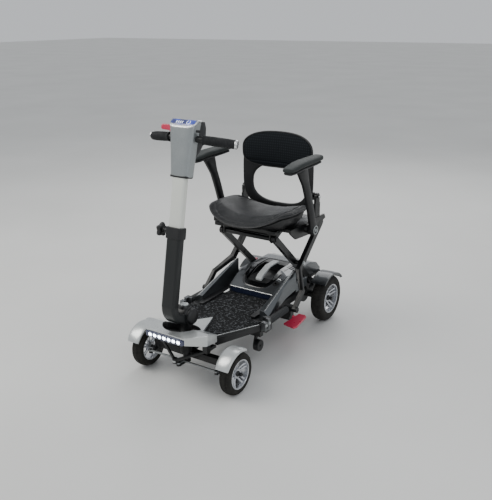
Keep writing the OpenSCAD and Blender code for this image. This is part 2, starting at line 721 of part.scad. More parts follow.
armrest_pad(1);  // armrest_pad_left
armrest_pad(-1);  // armrest_pad_right
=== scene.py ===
import json
import math

import bmesh
import bpy
import numpy as np
from mathutils import Matrix, Vector

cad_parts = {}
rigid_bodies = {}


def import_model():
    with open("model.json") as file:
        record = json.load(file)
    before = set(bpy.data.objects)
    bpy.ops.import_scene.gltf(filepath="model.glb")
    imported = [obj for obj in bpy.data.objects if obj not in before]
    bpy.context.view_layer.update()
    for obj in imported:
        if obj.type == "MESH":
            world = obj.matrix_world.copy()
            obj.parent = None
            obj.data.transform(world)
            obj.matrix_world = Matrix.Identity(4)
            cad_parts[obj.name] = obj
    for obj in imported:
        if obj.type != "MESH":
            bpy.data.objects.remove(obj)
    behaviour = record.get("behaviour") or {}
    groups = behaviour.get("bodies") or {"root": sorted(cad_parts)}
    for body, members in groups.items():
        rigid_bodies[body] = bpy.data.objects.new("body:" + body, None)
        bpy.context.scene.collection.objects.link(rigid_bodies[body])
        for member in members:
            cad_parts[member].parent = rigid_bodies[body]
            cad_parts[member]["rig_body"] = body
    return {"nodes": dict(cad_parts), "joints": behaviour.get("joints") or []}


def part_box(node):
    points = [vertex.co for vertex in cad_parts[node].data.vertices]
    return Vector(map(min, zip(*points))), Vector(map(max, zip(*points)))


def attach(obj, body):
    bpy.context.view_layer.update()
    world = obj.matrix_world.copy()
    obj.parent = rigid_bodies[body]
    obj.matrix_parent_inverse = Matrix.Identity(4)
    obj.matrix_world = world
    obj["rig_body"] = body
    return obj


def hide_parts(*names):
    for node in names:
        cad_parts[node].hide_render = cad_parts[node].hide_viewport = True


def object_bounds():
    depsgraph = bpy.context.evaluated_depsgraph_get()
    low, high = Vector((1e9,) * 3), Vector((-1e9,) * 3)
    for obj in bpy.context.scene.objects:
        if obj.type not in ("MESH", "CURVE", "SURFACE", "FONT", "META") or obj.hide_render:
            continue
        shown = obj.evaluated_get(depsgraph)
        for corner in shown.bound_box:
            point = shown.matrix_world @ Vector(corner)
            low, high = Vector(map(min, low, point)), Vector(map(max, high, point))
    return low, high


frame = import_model()
cad_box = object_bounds()


# ---- Studio -------------------------------------------------------------------------------
# A painted floor of pale grey resin and three large soft boxes, as in a plain product studio.
# The camera stands in front of the scooter on the rider's left, at a standing person's height.
def linear(colour):
    """sRGB hex to linear light: each channel c becomes ((c + 0.055) / 1.055) ** 2.4, or c / 12.92 where c is below 0.04045."""
    c = np.array([int(colour[i:i + 2], 16) / 255 for i in (1, 3, 5)])
    return (*np.where(c > 0.04045, ((c + 0.055) / 1.055) ** 2.4, c / 12.92), 1.0)


def add(tree, kind, inputs=None, **settings):
    """Adds a node of this kind, with its settings, and sets or links each named or numbered input."""
    made = tree.nodes.new(kind)
    for key, value in settings.items():
        setattr(made, key, value)
    for key, value in (inputs or {}).items():
        if isinstance(value, bpy.types.NodeSocket):
            tree.links.new(value, made.inputs[key])
        else:
            made.inputs[key].default_value = value
    return made


def start_material(name, colour, roughness, metallic=0.0, **sockets):
    """A material with one Principled shader set to these values: returns it, its tree, its shader and its Object coordinates."""
    made = bpy.data.materials.new(name)
    made.use_nodes = True
    tree = made.node_tree
    shader = tree.nodes["Principled BSDF"]
    shader.inputs["Base Color"].default_value = linear(colour)
    shader.inputs["Roughness"].default_value = roughness
    shader.inputs["Metallic"].default_value = metallic
    for key, value in sockets.items():
        shader.inputs[key.replace("_", " ")].default_value = value
    return made, tree, shader, add(tree, "ShaderNodeTexCoord").outputs["Object"]


def vary(tree, shader, socket, by, low, high):
    """Lets a grey pattern drive one number of the shader, from low where the pattern is 0.3 to high where it is 0.7."""
    spread = add(tree, "ShaderNodeMapRange", {"Value": by, 1: 0.3, 2: 0.7, 3: low, 4: high})
    tree.links.new(spread.outputs[0], shader.inputs[socket])


def tint(tree, shader, by, low, high, start=0.3, end=0.7):
    """Colours the shader from low to high as a grey pattern goes from start to end."""
    ramp = add(tree, "ShaderNodeValToRGB", {"Fac": by})
    ramp.color_ramp.elements[0].position, ramp.color_ramp.elements[1].position = start, end
    ramp.color_ramp.elements[0].color, ramp.color_ramp.elements[1].color = linear(low), linear(high)
    tree.links.new(ramp.outputs["Color"], shader.inputs["Base Color"])


def relief(tree, shader, height, depth_mm, strength=1.0):
    """Raises the surface by depth_mm where the pattern is 1."""
    bump = add(tree, "ShaderNodeBump", {"Height": height, "Distance": depth_mm / 1000, "Strength": strength})
    tree.links.new(bump.outputs["Normal"], shader.inputs["Normal"])


def speckle(tree, coords, size_mm, detail=2.0, stretch=(1, 1, 1)):
    """Cloudy noise whose blobs are about size_mm across, drawn out along an axis where stretch is below 1."""
    place = add(tree, "ShaderNodeMapping", {"Vector": coords, "Scale": stretch})
    return add(tree, "ShaderNodeTexNoise", {"Vector": place.outputs[0], "Scale": 1000 / size_mm, "Detail": detail}).outputs["Fac"]


floor_paint, tree, shader, coords = start_material("resin_floor", "#D9D9D6", 0.55)
tint(tree, shader, speckle(tree, coords, 900, 4), "#D5D5D2", "#DDDDDA")
relief(tree, shader, speckle(tree, coords, 3), 0.05)

low, high = (Vector(c) for c in cad_box)
middle = (low + high) / 2


def skin(grid, wrap_u=False, wrap_v=False, caps=False):
    """Points grid[u, v] and the quads that join each to its neighbours along u and v; wrap joins the last to the first,
    and caps closes the first and last rows with one face each."""
    n, m = grid.shape[:2]
    i = np.arange(n if wrap_u else n - 1)[:, None]
    j = np.arange(m if wrap_v else m - 1)[None, :]
    corners = [i * m + j, i * m + (j + 1) % m, (i + 1) % n * m + (j + 1) % m, (i + 1) % n * m + j]
    faces = np.stack(np.broadcast_arrays(*corners), -1).reshape(-1, 4).tolist()
    if caps:
        faces += [list(range(m)), list(range((n - 1) * m, n * m))]
    return grid.reshape(-1, 3), faces


def build(name, parts, finish, smooth=40):
    """One object from several skins in millimetres. Points closer than 0.02 mm are merged, faces are turned outwards,
    and edges that turn by more than smooth degrees stay sharp."""
    shape = bmesh.new()
    for points, faces in parts:
        mesh = bpy.data.meshes.new("part")
        mesh.from_pydata((points / 1000).tolist(), [], faces)
        shape.from_mesh(mesh)
        bpy.data.meshes.remove(mesh)
    bmesh.ops.remove_doubles(shape, verts=shape.verts, dist=2e-5)
    bmesh.ops.dissolve_degenerate(shape, edges=shape.edges, dist=1e-6)
    bmesh.ops.recalc_face_normals(shape, faces=shape.faces)
    mesh = bpy.data.meshes.new(name)
    shape.to_mesh(mesh)
    shape.free()
    mesh.shade_smooth()
    mesh.set_sharp_from_angle(angle=math.radians(smooth))
    made = bpy.data.objects.new(name, mesh)
    bpy.context.scene.collection.objects.link(made)
    mesh.materials.append(finish)
    return made


def squared(a, power):
    """A superellipse of unit size at the angles a: cos a and sin a, each with its size raised to 2 / power and its sign kept."""
    return tuple(np.sign(q) * np.abs(q) ** (2 / power) for q in (np.cos(a), np.sin(a)))


def place_piece(made, body, slot, *nodes):
    """Puts a finished piece on its body and hides the CAD nodes that it stands for; slot is not used."""
    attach(made, body)
    if nodes:
        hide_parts(*nodes)
    return made


def piece(name, parts, finish, body, slot, *nodes, smooth=40):
    """Builds an object from skins, puts it on its body, and hides the CAD nodes that it stands for; slot is not used.
    """
    return place_piece(build(name, parts, finish, smooth), body, slot, *nodes)


u, v = np.meshgrid(np.linspace(-3e4, 3e4, 31), np.linspace(-3e4, 3e4, 31), indexing="ij")
floor = build("studio_floor", [skin(np.stack([u, v, np.zeros_like(u)], -1))], floor_paint)
if floor.data.polygons[0].normal.z < 0:
    floor.data.flip_normals()

world = bpy.data.worlds.new("studio_air")
world.use_nodes = True
world.node_tree.nodes["Background"].inputs["Color"].default_value = linear("#DFE2E6")
world.node_tree.nodes["Background"].inputs["Strength"].default_value = 0.85
bpy.context.scene.world = world


def soft_box(name, place, size, power, warmth):
    """A square area light at place, aimed at the middle of the scooter."""
    lamp = bpy.data.lights.new(name, "AREA")
    lamp.size, lamp.energy, lamp.color = size, power, linear(warmth)[:3]
    made = bpy.data.objects.new(name, lamp)
    made.matrix_world = Matrix.Translation(place) @ (middle - Vector(place)).to_track_quat("-Z", "Y").to_matrix().to_4x4()
    bpy.context.scene.collection.objects.link(made)


soft_box("key_light", (-1.9, -1.7, 3.0), 2.2, 72, "#FFFDF8")
soft_box("fill_light", (2.6, -1.2, 2.2), 2.6, 24, "#F6F9FF")
soft_box("back_light", (-0.6, 2.6, 2.6), 2.4, 44, "#FFFFFF")

eye, aim, roll = Vector((1.3912, -2.0867, 1.2609)), Vector((-0.1324, 0.2213, 0.3040)), math.radians(-0.416)
ahead = (aim - eye).normalized()
right = ahead.cross(Vector((0, 0, 1))).normalized()
up = right.cross(ahead)
right, up = right * math.cos(roll) + up * math.sin(roll), up * math.cos(roll) - right * math.sin(roll)
lens = bpy.data.cameras.new("studio_camera")
lens.lens, lens.sensor_width, lens.clip_end = 48.86, 36, 100
camera = bpy.data.objects.new("studio_camera", lens)
camera.matrix_world = Matrix.Translation(eye) @ Matrix((right, up, -ahead)).transposed().to_4x4()
bpy.context.scene.collection.objects.link(camera)
bpy.context.scene.camera = camera


# ---- Chassis ------------------------------------------------------------------------------
# Steel box rails welded to a front spine and cross members, powder coated in satin black.
# The coat has a fine orange peel and rounds every edge; the bare pivot parts are zinc plated.
def coated(name, colour, roughness, patch_mm, spread, grain_mm, depth_mm, detail=2.0, metallic=0.0, **sockets):
    """A plain finish: its roughness wanders between the two ends of spread in patches of patch_mm, and its surface has a grain
    of grain_mm, depth_mm high."""
    made, tree, shader, coords = start_material(name, colour, roughness, metallic, **sockets)
    vary(tree, shader, "Roughness", speckle(tree, coords, patch_mm), roughness + spread[0], roughness + spread[1])
    relief(tree, shader, speckle(tree, coords, grain_mm, detail), depth_mm)
    return made


def powder_coat(name, colour, roughness=0.42):
    """Thermoset powder, baked on: satin, with an orange peel of about 1.5 mm and slightly duller patches."""
    return coated(name, colour, roughness, 40, (-0.07, 0.09), 1.5, 0.04, 1, IOR=1.5, Specular_IOR_Level=0.45)


def settled(made):
    """Applies the modifiers of an object to its mesh, and keeps its material and smooth shading."""
    graph = bpy.context.evaluated_depsgraph_get()
    finish = made.data.materials[0]
    mesh = bpy.data.meshes.new_from_object(made.evaluated_get(graph))
    made.modifiers.clear()
    made.data = mesh
    mesh.materials.clear()
    mesh.materials.append(finish)
    mesh.shade_smooth()
    return made


def refined(node, finish, radius, segments=2, angle=30, smooth=40, cutter=None):
    """A copy of a CAD node with its corners merged, its flat faces joined into single ones, cut by the cutter if there is one,
    and its edges rounded to radius millimetres. It rides on the node's own body and stands for it."""
    shape = bmesh.new()
    shape.from_mesh(frame["nodes"][node].data)
    bmesh.ops.remove_doubles(shape, verts=shape.verts, dist=2e-5)
    bmesh.ops.dissolve_limit(shape, angle_limit=math.radians(0.8), verts=shape.verts, edges=shape.edges)
    bmesh.ops.dissolve_degenerate(shape, edges=shape.edges, dist=1e-5)
    mesh = bpy.data.meshes.new(node + "_made")
    shape.to_mesh(mesh)
    shape.free()
    mesh.shade_smooth()
    made = bpy.data.objects.new(node + "_made", mesh)
    bpy.context.scene.collection.objects.link(made)
    mesh.materials.clear()
    mesh.materials.append(finish)
    if cutter:
        well = made.modifiers.new("well", "BOOLEAN")
        well.object, well.solver = cutter, "EXACT"
        settled(made)
        bpy.data.objects.remove(cutter)
    edge = made.modifiers.new("edges", "BEVEL")
    edge.width, edge.segments, edge.limit_method = radius / 1000, segments, "ANGLE"
    edge.angle_limit, edge.harden_normals, edge.miter_outer = math.radians(angle), True, "MITER_ARC"
    made.data.set_sharp_from_angle(angle=math.radians(smooth))
    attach(made, frame["nodes"][node]["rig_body"])
    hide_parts(node)
    return made


frame_coat = powder_coat("powder_coat_black", "#0E0F10")
for part in ("front_frame", "rear_frame", "side_rails", "rear_bumper", "guard_bar", "steering_column", "knuckle_left", "knuckle_right"):
    refined(part, frame_coat, 1.0)


def joint(name):
    """Place of a joint's pivot in millimetres."""
    return np.array(next(j for j in frame["joints"] if j["name"] == name)["pos_m"]) * 1000


def box(node):
    """Lowest corner, highest corner and middle of a CAD node in millimetres."""
    ends = np.array(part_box(node)) * 1000
    return ends[0], ends[1], ends.mean(0)


def turned(profile, place, axis, count=48, closed=False, phase=0.0):
    """Turns a profile of (radius, distance along the axis) points about an axis through place: with p and q square to the
    axis, each point goes round to place + distance * axis + radius * (p cos a + q sin a). A radius may be an array over a."""
    axis = np.array(axis, float) / np.linalg.norm(axis)
    p = np.cross(axis, (0, 0, 1) if abs(axis[2]) < 0.9 else (1, 0, 0))
    p /= np.linalg.norm(p)
    q = np.cross(axis, p)
    a = phase + np.linspace(0, 2 * np.pi, count, endpoint=False)
    round_it = np.cos(a)[:, None] * p + np.sin(a)[:, None] * q
    radius = np.stack([np.broadcast_to(r, count) for r, _ in profile])
    along = np.array([d for _, d in profile], float)
    grid = np.array(place, float) + along[:, None, None] * axis + radius[..., None] * round_it
    return skin(grid, wrap_u=closed, wrap_v=True)


def bolt(place, axis, size):
    """A flanged hexagon screw of this thread size: washer face, six-sided head and domed tip, lying outwards along axis."""
    washer = turned([(0, -0.5), (size * 1.15, -0.5), (size * 1.15, 0.6), (size * 1.05, 1.0), (0, 1.0)], place, axis, 32)
    head = [(0, 0.8), (size * 0.88, 0.8), (size * 0.88, size * 0.5), (size * 0.76, size * 0.62), (0, size * 0.66)]
    head = turned(head, place, axis, 6)
    return [washer, head]


def zinc_plate(name, colour="#B9BCBC", roughness=0.34):
    """Bright zinc over steel: a metal with faint crystalline patches of about 4 mm."""
    return coated(name, colour, roughness, 4, (-0.08, 0.12), 0.8, 0.015, metallic=1.0)


zinc = zinc_plate("zinc_plated_steel")
satin_bracket = zinc_plate("satin_aluminium_bracket", "#A9ADAD", 0.42)
refined("tie_rod", zinc_plate("tie_rod_steel", "#8E9192", 0.38), 0.8)
refined("hinge_brackets", zinc_plate("gunmetal_hinge", "#6E7072", 0.36), 2.4, 3)
front_axle = joint("front_wheel_left_spin")
front_y = front_axle[1]
guard = box("guard_bar")
ball = [(9 * math.sin(a), 9 * -math.cos(a)) for a in np.linspace(0, np.pi, 17)]
ball = turned(ball, (0, guard[0][1] + 8, guard[0][2] + 8), (0, 0, 1), 32)
piece("guard_ball_bolt", [ball], zinc, "chassis", "bracket_metal")
places = [(sign, sign * x, front_y + s) for sign in (1, -1) for x, s in ((199.5, 204), (197.5, 229))]
hinge_bolts = [b for sign, x, y in places for b in bolt((x, y, 178), (sign, 0, 0), 6)]
piece("hinge_bolts", hinge_bolts, zinc, "chassis", "bracket_metal")


def moulded_plastic(name, colour, roughness=0.5, grain_mm=0.9, depth_mm=0.05, **sockets):
    """Injection moulded ABS from a spark eroded tool: a fine leathery grain, and wide faint changes of gloss."""
    return coated(name, colour, roughness, 55, (-0.08, 0.08), grain_mm, depth_mm, 3, IOR=1.52, **sockets)


black_plastic = moulded_plastic("black_abs", "#0B0C0E", 0.46)
for part in ("transaxle", "anti_tip_wheels", "trolley_wheel_left", "trolley_wheel_right"):
    refined(part, black_plastic, 2.0)


# ---- Wheels -------------------------------------------------------------------------------
# Solid polyurethane tyres with a chevron tread, on deep cast aluminium rims with five pairs of blades.
# A black cap covers each axle nut.
def tyre_rubber(name, colour):
    """Carbon-filled polyurethane: matt, with a fine dust of the floor in its pores."""
    made, tree, shader, coords = start_material(name, colour, 0.82, IOR=1.48, Specular_IOR_Level=0.3)
    tint(tree, shader, speckle(tree, coords, 22, 5), colour, "#2B2A27")
    relief(tree, shader, speckle(tree, coords, 0.9, 3), 0.12)
    return made


def satin_casting(name, colour, roughness=0.28):
    """Cast aluminium under silver lacquer: metallic, with a clear coat and a faint cast unevenness of 6 mm."""
    return coated(name, colour, roughness, 6, (-0.05, 0.08), 2, 0.02, metallic=0.9, Coat_Weight=0.5, Coat_Roughness=0.12)


rubber = tyre_rubber("tyre_polyurethane", "#1B1A18")
rim_lacquer = satin_casting("rim_silver_lacquer", "#C6C8CC")


def tyre(node, body, seat, pitch, steps):
    """A tyre whose section is a superellipse from bead to bead: across = width/2 sin f, height = cos f to the power 0.5.
    The tread is cut where the arc length plus a third of the distance from the middle falls near a multiple of pitch,
    and along two round grooves; two thin ribs run round each side wall."""
    low, high, mid = box(node)
    radius, width = (high[2] - low[2]) / 2, high[0] - low[0]
    f = np.linspace(-np.pi / 2, np.pi / 2, 57)
    a = np.linspace(0, 2 * np.pi, steps, endpoint=False)[:, None]
    height = np.cos(f) ** 0.5
    across = width / 2 * np.sign(np.sin(f)) * np.abs(np.sin(f)) ** 0.9 * (0.83 + 0.17 * height ** 0.5)
    count = round(2 * np.pi * radius / pitch)
    turn = (a * count / (2 * np.pi) + 0.34 * np.abs(across) / pitch) % 1
    from_middle = np.abs(across)
    cut = np.clip(1.35 - np.abs(turn - 0.5) * pitch / 1.7, 0, 1)
    cut = cut * np.clip((0.47 * width - from_middle) / 2, 0, 1) * np.clip((from_middle - 3) / 1.5, 0, 1)
    round_cut = np.clip(1.4 - np.abs(np.abs(across) - 0.2 * width) / 1.3, 0, 1) * np.ones_like(a)
    crown = np.clip((height - 0.72) / 0.1, 0, 1)
    ribs = 0.7 * (np.exp(-((height - 0.35) / 0.03) ** 2) + np.exp(-((height - 0.5) / 0.03) ** 2))
    r = seat + (radius - seat) * height - 2.4 * np.maximum(cut, round_cut) * crown
    across = across + np.sign(across) * ribs
    grid = np.stack([mid[0] + across + 0 * a, mid[1] + r * np.cos(a), mid[2] + r * np.sin(a)], -1)
    made = build(node + "_tread", [skin(grid, wrap_u=True, wrap_v=True)], rubber, 50)
    return place_piece(made, body, "tyre", node)


def blade(mid, side, angle, offset, start, end, dish):
    """One spoke: a rounded section 7 by 6 mm carried out from radius start to end, set off to one side of its ray,
    and rising from the hub towards the rim's face as the square of the distance."""
    t = np.linspace(0, 1, 10)[:, None]
    a = np.linspace(0, 2 * np.pi, 16, endpoint=False)
    out = np.array((0, math.cos(angle), math.sin(angle)))
    over = np.array((0, -math.sin(angle), math.cos(angle)))
    wide, thick = squared(a, 2 / 0.6)
    r = start + (end - start) * t + 0 * a
    grid = mid + r[..., None] * out + (offset * (1 + 0.35 * t) + wide * (3.1 + 0.9 * t))[..., None] * over
    grid[..., 0] += side * (dish[0] + (dish[1] - dish[0]) * t ** 2 + thick * 3.4)
    return skin(grid, wrap_v=True, caps=True)


def wheel(place, body, seat, pitch, steps):
    """Tyre, rim and hub cap of one wheel; place is such as front_left."""
    end, hand = place.split("_")
    side = 1 if hand == "left" else -1
    tyre(f"{end}_tyre_{hand}", body, seat, pitch, steps)
    low, high, mid = box(f"{end}_rim_{hand}")
    half = (high[0] - low[0]) / 2
    barrel = [(seat + 0.3, -half), (seat + 0.3, half - 2), (seat + 1.6, half - 0.5), (seat + 1.2, half + 1.6),
              (seat - 1.5, half + 2.2), (seat - 3.4, half + 0.6), (seat - 4.6, half - 5), (seat - 5.4, -half + 3), (seat - 4, -half)]
    axis = (side, 0, 0)
    parts = [turned(barrel, mid, axis, 120, closed=True)]
    hub = 0.36 * seat
    boss = [(6.2, -half * 0.8), (hub * 0.8, -half * 0.8), (hub, -half * 0.2), (hub, half * 0.25),
            (hub * 0.9, half * 0.45), (6.2, half * 0.45)]
    parts.append(turned(boss, mid, axis, 64, closed=True))
    for k in range(5):
        for offset in (-1, 1):
            ray = math.radians(90 + 72 * k)
            parts.append(blade(mid, side, ray, offset * 0.105 * seat, hub * 0.8, seat - 3.8, (half * 0.05, half * 0.62)))
    for k in range(5):
        ray = math.radians(126 + 72 * k)
        spot = mid + np.array((side * half * 0.36, hub * 0.72 * math.cos(ray), hub * 0.72 * math.sin(ray)))
        parts += bolt(spot, axis, 3)
    piece(f"{place}_rim_cast", parts, rim_lacquer, body, "rim_silver", f"{end}_rim_{hand}", smooth=35)
    lip = half * 0.62
    dome = [(0, lip + 4.2), (4, lip + 4), (8, lip + 2.6), (hub * 0.52, lip), (hub * 0.55, half * 0.4), (0, half * 0.4)]
    piece(f"{place}_hub_cap", [turned(dome, mid, axis, 48)], black_plastic, body, "black_plastic")


for hand in ("left", "right"):
    wheel(f"front_{hand}", f"front_wheel_{hand}", 53, 12, 600)
    wheel(f"rear_{hand}", f"rear_wheel_{hand}", 62, 14, 720)


# ---- Fenders ------------------------------------------------------------------------------
# Thin moulded arches over the wheels: silver in front, where they turn with the wheels, and dark at the back.
# Each has rounded shoulders and a wall of 2.4 mm, and is screwed to a stay on the kingpin or frame.
def metallic_paint(name, colour, roughness=0.3, coat=0.7):
    """Aluminium-flake paint under clear lacquer: flakes of half a millimetre change the gloss, drawn coarse enough to show."""
    made, tree, shader, coords = start_material(name, colour, roughness, 0.75, Coat_Weight=coat, Coat_Roughness=0.06)
    flakes = add(tree, "ShaderNodeTexVoronoi", {"Vector": coords, "Scale": 1000 / 0.8}).outputs["Color"]
    grey = add(tree, "ShaderNodeSeparateColor", {"Color": flakes}).outputs[0]
    bright = add(tree, "ShaderNodeMapRange", {"Value": grey, 3: 0.86, 4: 1.1}).outputs[0]
    tone = add(tree, "ShaderNodeVectorMath", {0: linear(colour)[:3], "Scale": bright}, operation="SCALE")
    tree.links.new(tone.outputs[0], shader.inputs["Base Color"])
    vary(tree, shader, "Roughness", speckle(tree, coords, 30), roughness - 0.05, roughness + 0.06)
    return made


silver_paint = metallic_paint("silver_flake_paint", "#C9CCCB", 0.32)
gunmetal_paint = metallic_paint("gunmetal_flake_paint", "#54575A", 0.34)
dark_fender = metallic_paint("dark_gunmetal_paint", "#2E3133", 0.36)


def arch(mid, radius, back, front, half, crown, wall=2.4, taper=0.14):
    """A fender: going round from back to front degrees off the top, its section is an arc with square shoulders, where the
    height over radius is crown times cos f to the power 0.45, and a second skin one wall inside closes it."""
    a = np.radians(np.linspace(-back, front, 61))[:, None]
    f = np.linspace(-np.pi / 2, np.pi / 2, 33)
    reach = np.clip(np.abs(a) / np.radians(max(back, front)), 0, 1)
    shrink = 1 - taper * reach ** 4
    layers = []
    for inset, order in ((0, 1), (wall, -1)):
        r = radius - inset + crown * np.maximum(np.cos(f[::order]), 0) ** 0.45 - 2.0 * reach ** 6
        x = (half - inset * 0.8) * np.sin(f[::order]) * shrink
        layers.append(np.stack([mid[0] + x, mid[1] - r * np.sin(a), mid[2] + r * np.cos(a)], -1))
    return skin(np.concatenate(layers, 1), wrap_v=True, caps=True)


refined("rear_fenders", dark_fender, 1.2)
for sign, hand in ((1, "left"), (-1, "right")):
    node = f"front_fender_{hand}"
    over_wheel = np.array((sign * front_axle[0], front_y - 8, front_axle[2] + 6))
    shell = arch(over_wheel, 85, 24, 62, 29.5, 9)
    piece(node + "_shell", [shell], silver_paint, f"steer_{hand}", "shell_silver", node, smooth=50)
    spot = over_wheel + np.array((0, 4, 93.2))
    piece(node + "_screw", bolt(spot, (0, 0.02, 1), 3), zinc, f"steer_{hand}", "bracket_metal")
    rear_axle = joint(f"rear_wheel_{hand}_spin")
    crown = arch(rear_axle, 110.5, 50, 42, 34.5, 6.5)
    piece(f"rear_fender_crown_{hand}", [crown], dark_fender, "chassis", "shell_gunmetal", smooth=50)


# ---- Nose and lamp ------------------------------------------------------------------------
# A silver moulded shell with a round well for the steering column, lined in black rubber.
# Along its front edge lies a navy lamp strip with seven LEDs in square reflectors.
low, high, mid = box("bumper")
well_s, well_r = -42, 68
bore = turned([(0, 150), (well_r, 150), (well_r, 300), (0, 300)], (0, front_y + well_s, 0), (0, 0, 1), 72)
refined("bumper", silver_paint, 5.0, 4, cutter=build("well_cutter", [bore], silver_paint))
liner = [(well_r + 0.4, -30), (well_r + 0.4, -1), (well_r - 0.6, 0.6), (well_r - 2.2, -1), (well_r - 5, -24),
         (30, -30), (30, -34)]
well, faces = turned(liner, (0, front_y + well_s, high[2]), (0, 0, 1), 96, closed=True)
well[:, 2] += np.interp(well[:, 1] - front_y, [-110, -72, -4, 138], [0, -0.5, -29, -46])
piece("column_well_liner", [(well, faces)], black_plastic, "chassis", "black_plastic")


def clear_lamp(name, colour, strength, glow="#E8F4FF"):
    """Polycarbonate over a lit diode: glossy, and bright of itself."""
    light = {"Emission_Color": linear(glow), "Emission_Strength": strength}
    return start_material(name, colour, 0.12, IOR=1.58, Coat_Weight=0.6, **light)


navy_lens, tree, shader, coords = clear_lamp("navy_polycarbonate", "#16204A", 0.02)
relief(tree, shader, speckle(tree, coords, 6), 0.03)
lit_diode = clear_lamp("lit_diode", "#F4F9FF", 11.0)[0]


def slab(low, high, power=6, rows=9, count=40):
    """A soft-edged block between two corners: its section square to Y is a superellipse of this power, and it
    shrinks by the same curve over its last tenth at each end."""
    low, high = np.array(low, float), np.array(high, float)
    mid, half = (low + high) / 2, (high - low) / 2
    s = np.sin(np.linspace(-np.pi / 2, np.pi / 2, 2 * rows))[:, None]
    size = np.maximum(1 - np.abs(s) ** (2 * power), 1e-4) ** (1 / power)
    a = np.linspace(0, 2 * np.pi, count, endpoint=False)
    x, z = squared(a, power)
    grid = np.stack([mid[0] + half[0] * x * size, mid[1] + half[1] * s + 0 * a, mid[2] + half[2] * z * size], -1)
    return skin(grid, wrap_v=True, caps=True)


low, high, mid = box("headlight")
piece("headlight_lens", [slab(low, high)], navy_lens, "chassis", "lamp", "headlight")
step = (high[0] - low[0]) / 8
diodes, reflectors = [], []
for k in range(7):
    x = low[0] + step * (k + 1)
    diodes.append(slab((x - 6.2, low[1] - 1.4, mid[2] - 4.6), (x + 6.2, low[1] + 2, mid[2] + 4.6), 4))
    ring = [(7.9, 0.5), (8.7, 1.6), (7.9, 2.2), (6.6, 0.8)]
    reflectors.append(turned(ring, (x, low[1] + 1, mid[2]), (0, -1, 0), 24, closed=True))
piece("headlight_diodes", diodes, lit_diode, "chassis", "lamp")
piece("headlight_reflectors", reflectors, zinc, "chassis", "lamp")


# ---- Deck ---------------------------------------------------------------------------------
# A steel plate with deep black side panels edged by a bright strip, and a bound carpet on top.
# The carpet is dark looped nylon flecked with grey; its loops are about 2 mm.
def carpet_pile(name, colour):
    """Looped nylon: no gloss, tufts of 2.6 mm that stand half a millimetre proud, and grey flecks of 5 mm among black."""
    made, tree, shader, coords = start_material(name, colour, 0.97, Sheen_Weight=0.04, Specular_IOR_Level=0.15)
    fleck = add(tree, "ShaderNodeTexVoronoi", {"Vector": coords, "Scale": 1000 / 5.0}, feature="F1").outputs["Color"]
    shade = add(tree, "ShaderNodeSeparateColor", {"Color": fleck}).outputs[0]
    tint(tree, shader, shade, colour, "#595B5E", 0.72, 1.0)
    tuft = add(tree, "ShaderNodeTexVoronoi", {"Vector": coords, "Scale": 1000 / 2.6}, feature="F1").outputs["Distance"]
    relief(tree, shader, add(tree, "ShaderNodeMath", {0: 1.0, 1: tuft}, operation="SUBTRACT").outputs[0], 0.6)
    return made


refined("deck_panel", black_plastic, 2.0)
refined("deck_mat", carpet_pile("speckled_carpet", "#0D0E0F"), 1.6)


def rod(path, width, height, side, count=16, power=2.0, tips=True, closed=False):
    """A bar carried along path: with t the path's direction and n = side x t, each section point lies at
    side * width/2 cos a + n * height/2 sin a, squared off by power. Width and height may change along the path,
    and rounded tips close it."""
    path = np.array(path, float)
    n = len(path)
    t = np.roll(path, -1, 0) - np.roll(path, 1, 0) if closed else np.gradient(path, axis=0)
    t /= np.linalg.norm(t, axis=1)[:, None]
    side = np.broadcast_to(np.array(side, float), path.shape)
    side = side - np.sum(t * side, 1)[:, None] * t
    side /= np.linalg.norm(side, axis=1)[:, None]
    normal = np.cross(side, t)
    width, height = np.broadcast_to(width, n) / 2, np.broadcast_to(height, n) / 2
    scale = np.ones(n)
    if tips and not closed:
        ends = np.sin(np.linspace(0, np.pi / 2, 6))[:-1]
        reach = 0.48 * (1 - ends)[:, None]
        path = np.concatenate([path[:1] - t[:1] * height[0] * reach, path, path[-1:] + t[-1:] * height[-1] * reach[::-1]])
        tip = np.sqrt(1 - (1 - ends) ** 2).clip(0.05)
        scale = np.concatenate([tip, scale, tip[::-1]])
        pad = lambda q: np.concatenate([np.repeat(q[:1], 5, 0), q, np.repeat(q[-1:], 5, 0)])
        side, normal, width, height = pad(side), pad(normal), pad(width), pad(height)
    a = np.linspace(0, 2 * np.pi, count, endpoint=False)
    x, y = squared(a, power)
    x, y = (scale * width)[:, None] * x, (scale * height)[:, None] * y
    grid = path[:, None] + x[..., None] * side[:, None] + y[..., None] * normal[:, None]
    return skin(grid, wrap_u=closed, wrap_v=True, caps=not closed)


bright_strip = satin_casting("bright_anodised_strip", "#D2D4D3", 0.22)
strips = []
for sign in (1, -1):
    ends = np.array([(sign * 116, front_y + 7, 198.5), (sign * 175.5, front_y + 191, 180.8)])
    strips.append(rod(ends[0] + np.linspace(0, 1, 12)[:, None] * (ends[1] - ends[0]), 3.4, 2.6, (1, 0, 0), 12))
piece("deck_bright_strips", strips, bright_strip, "chassis", "shell_silver")


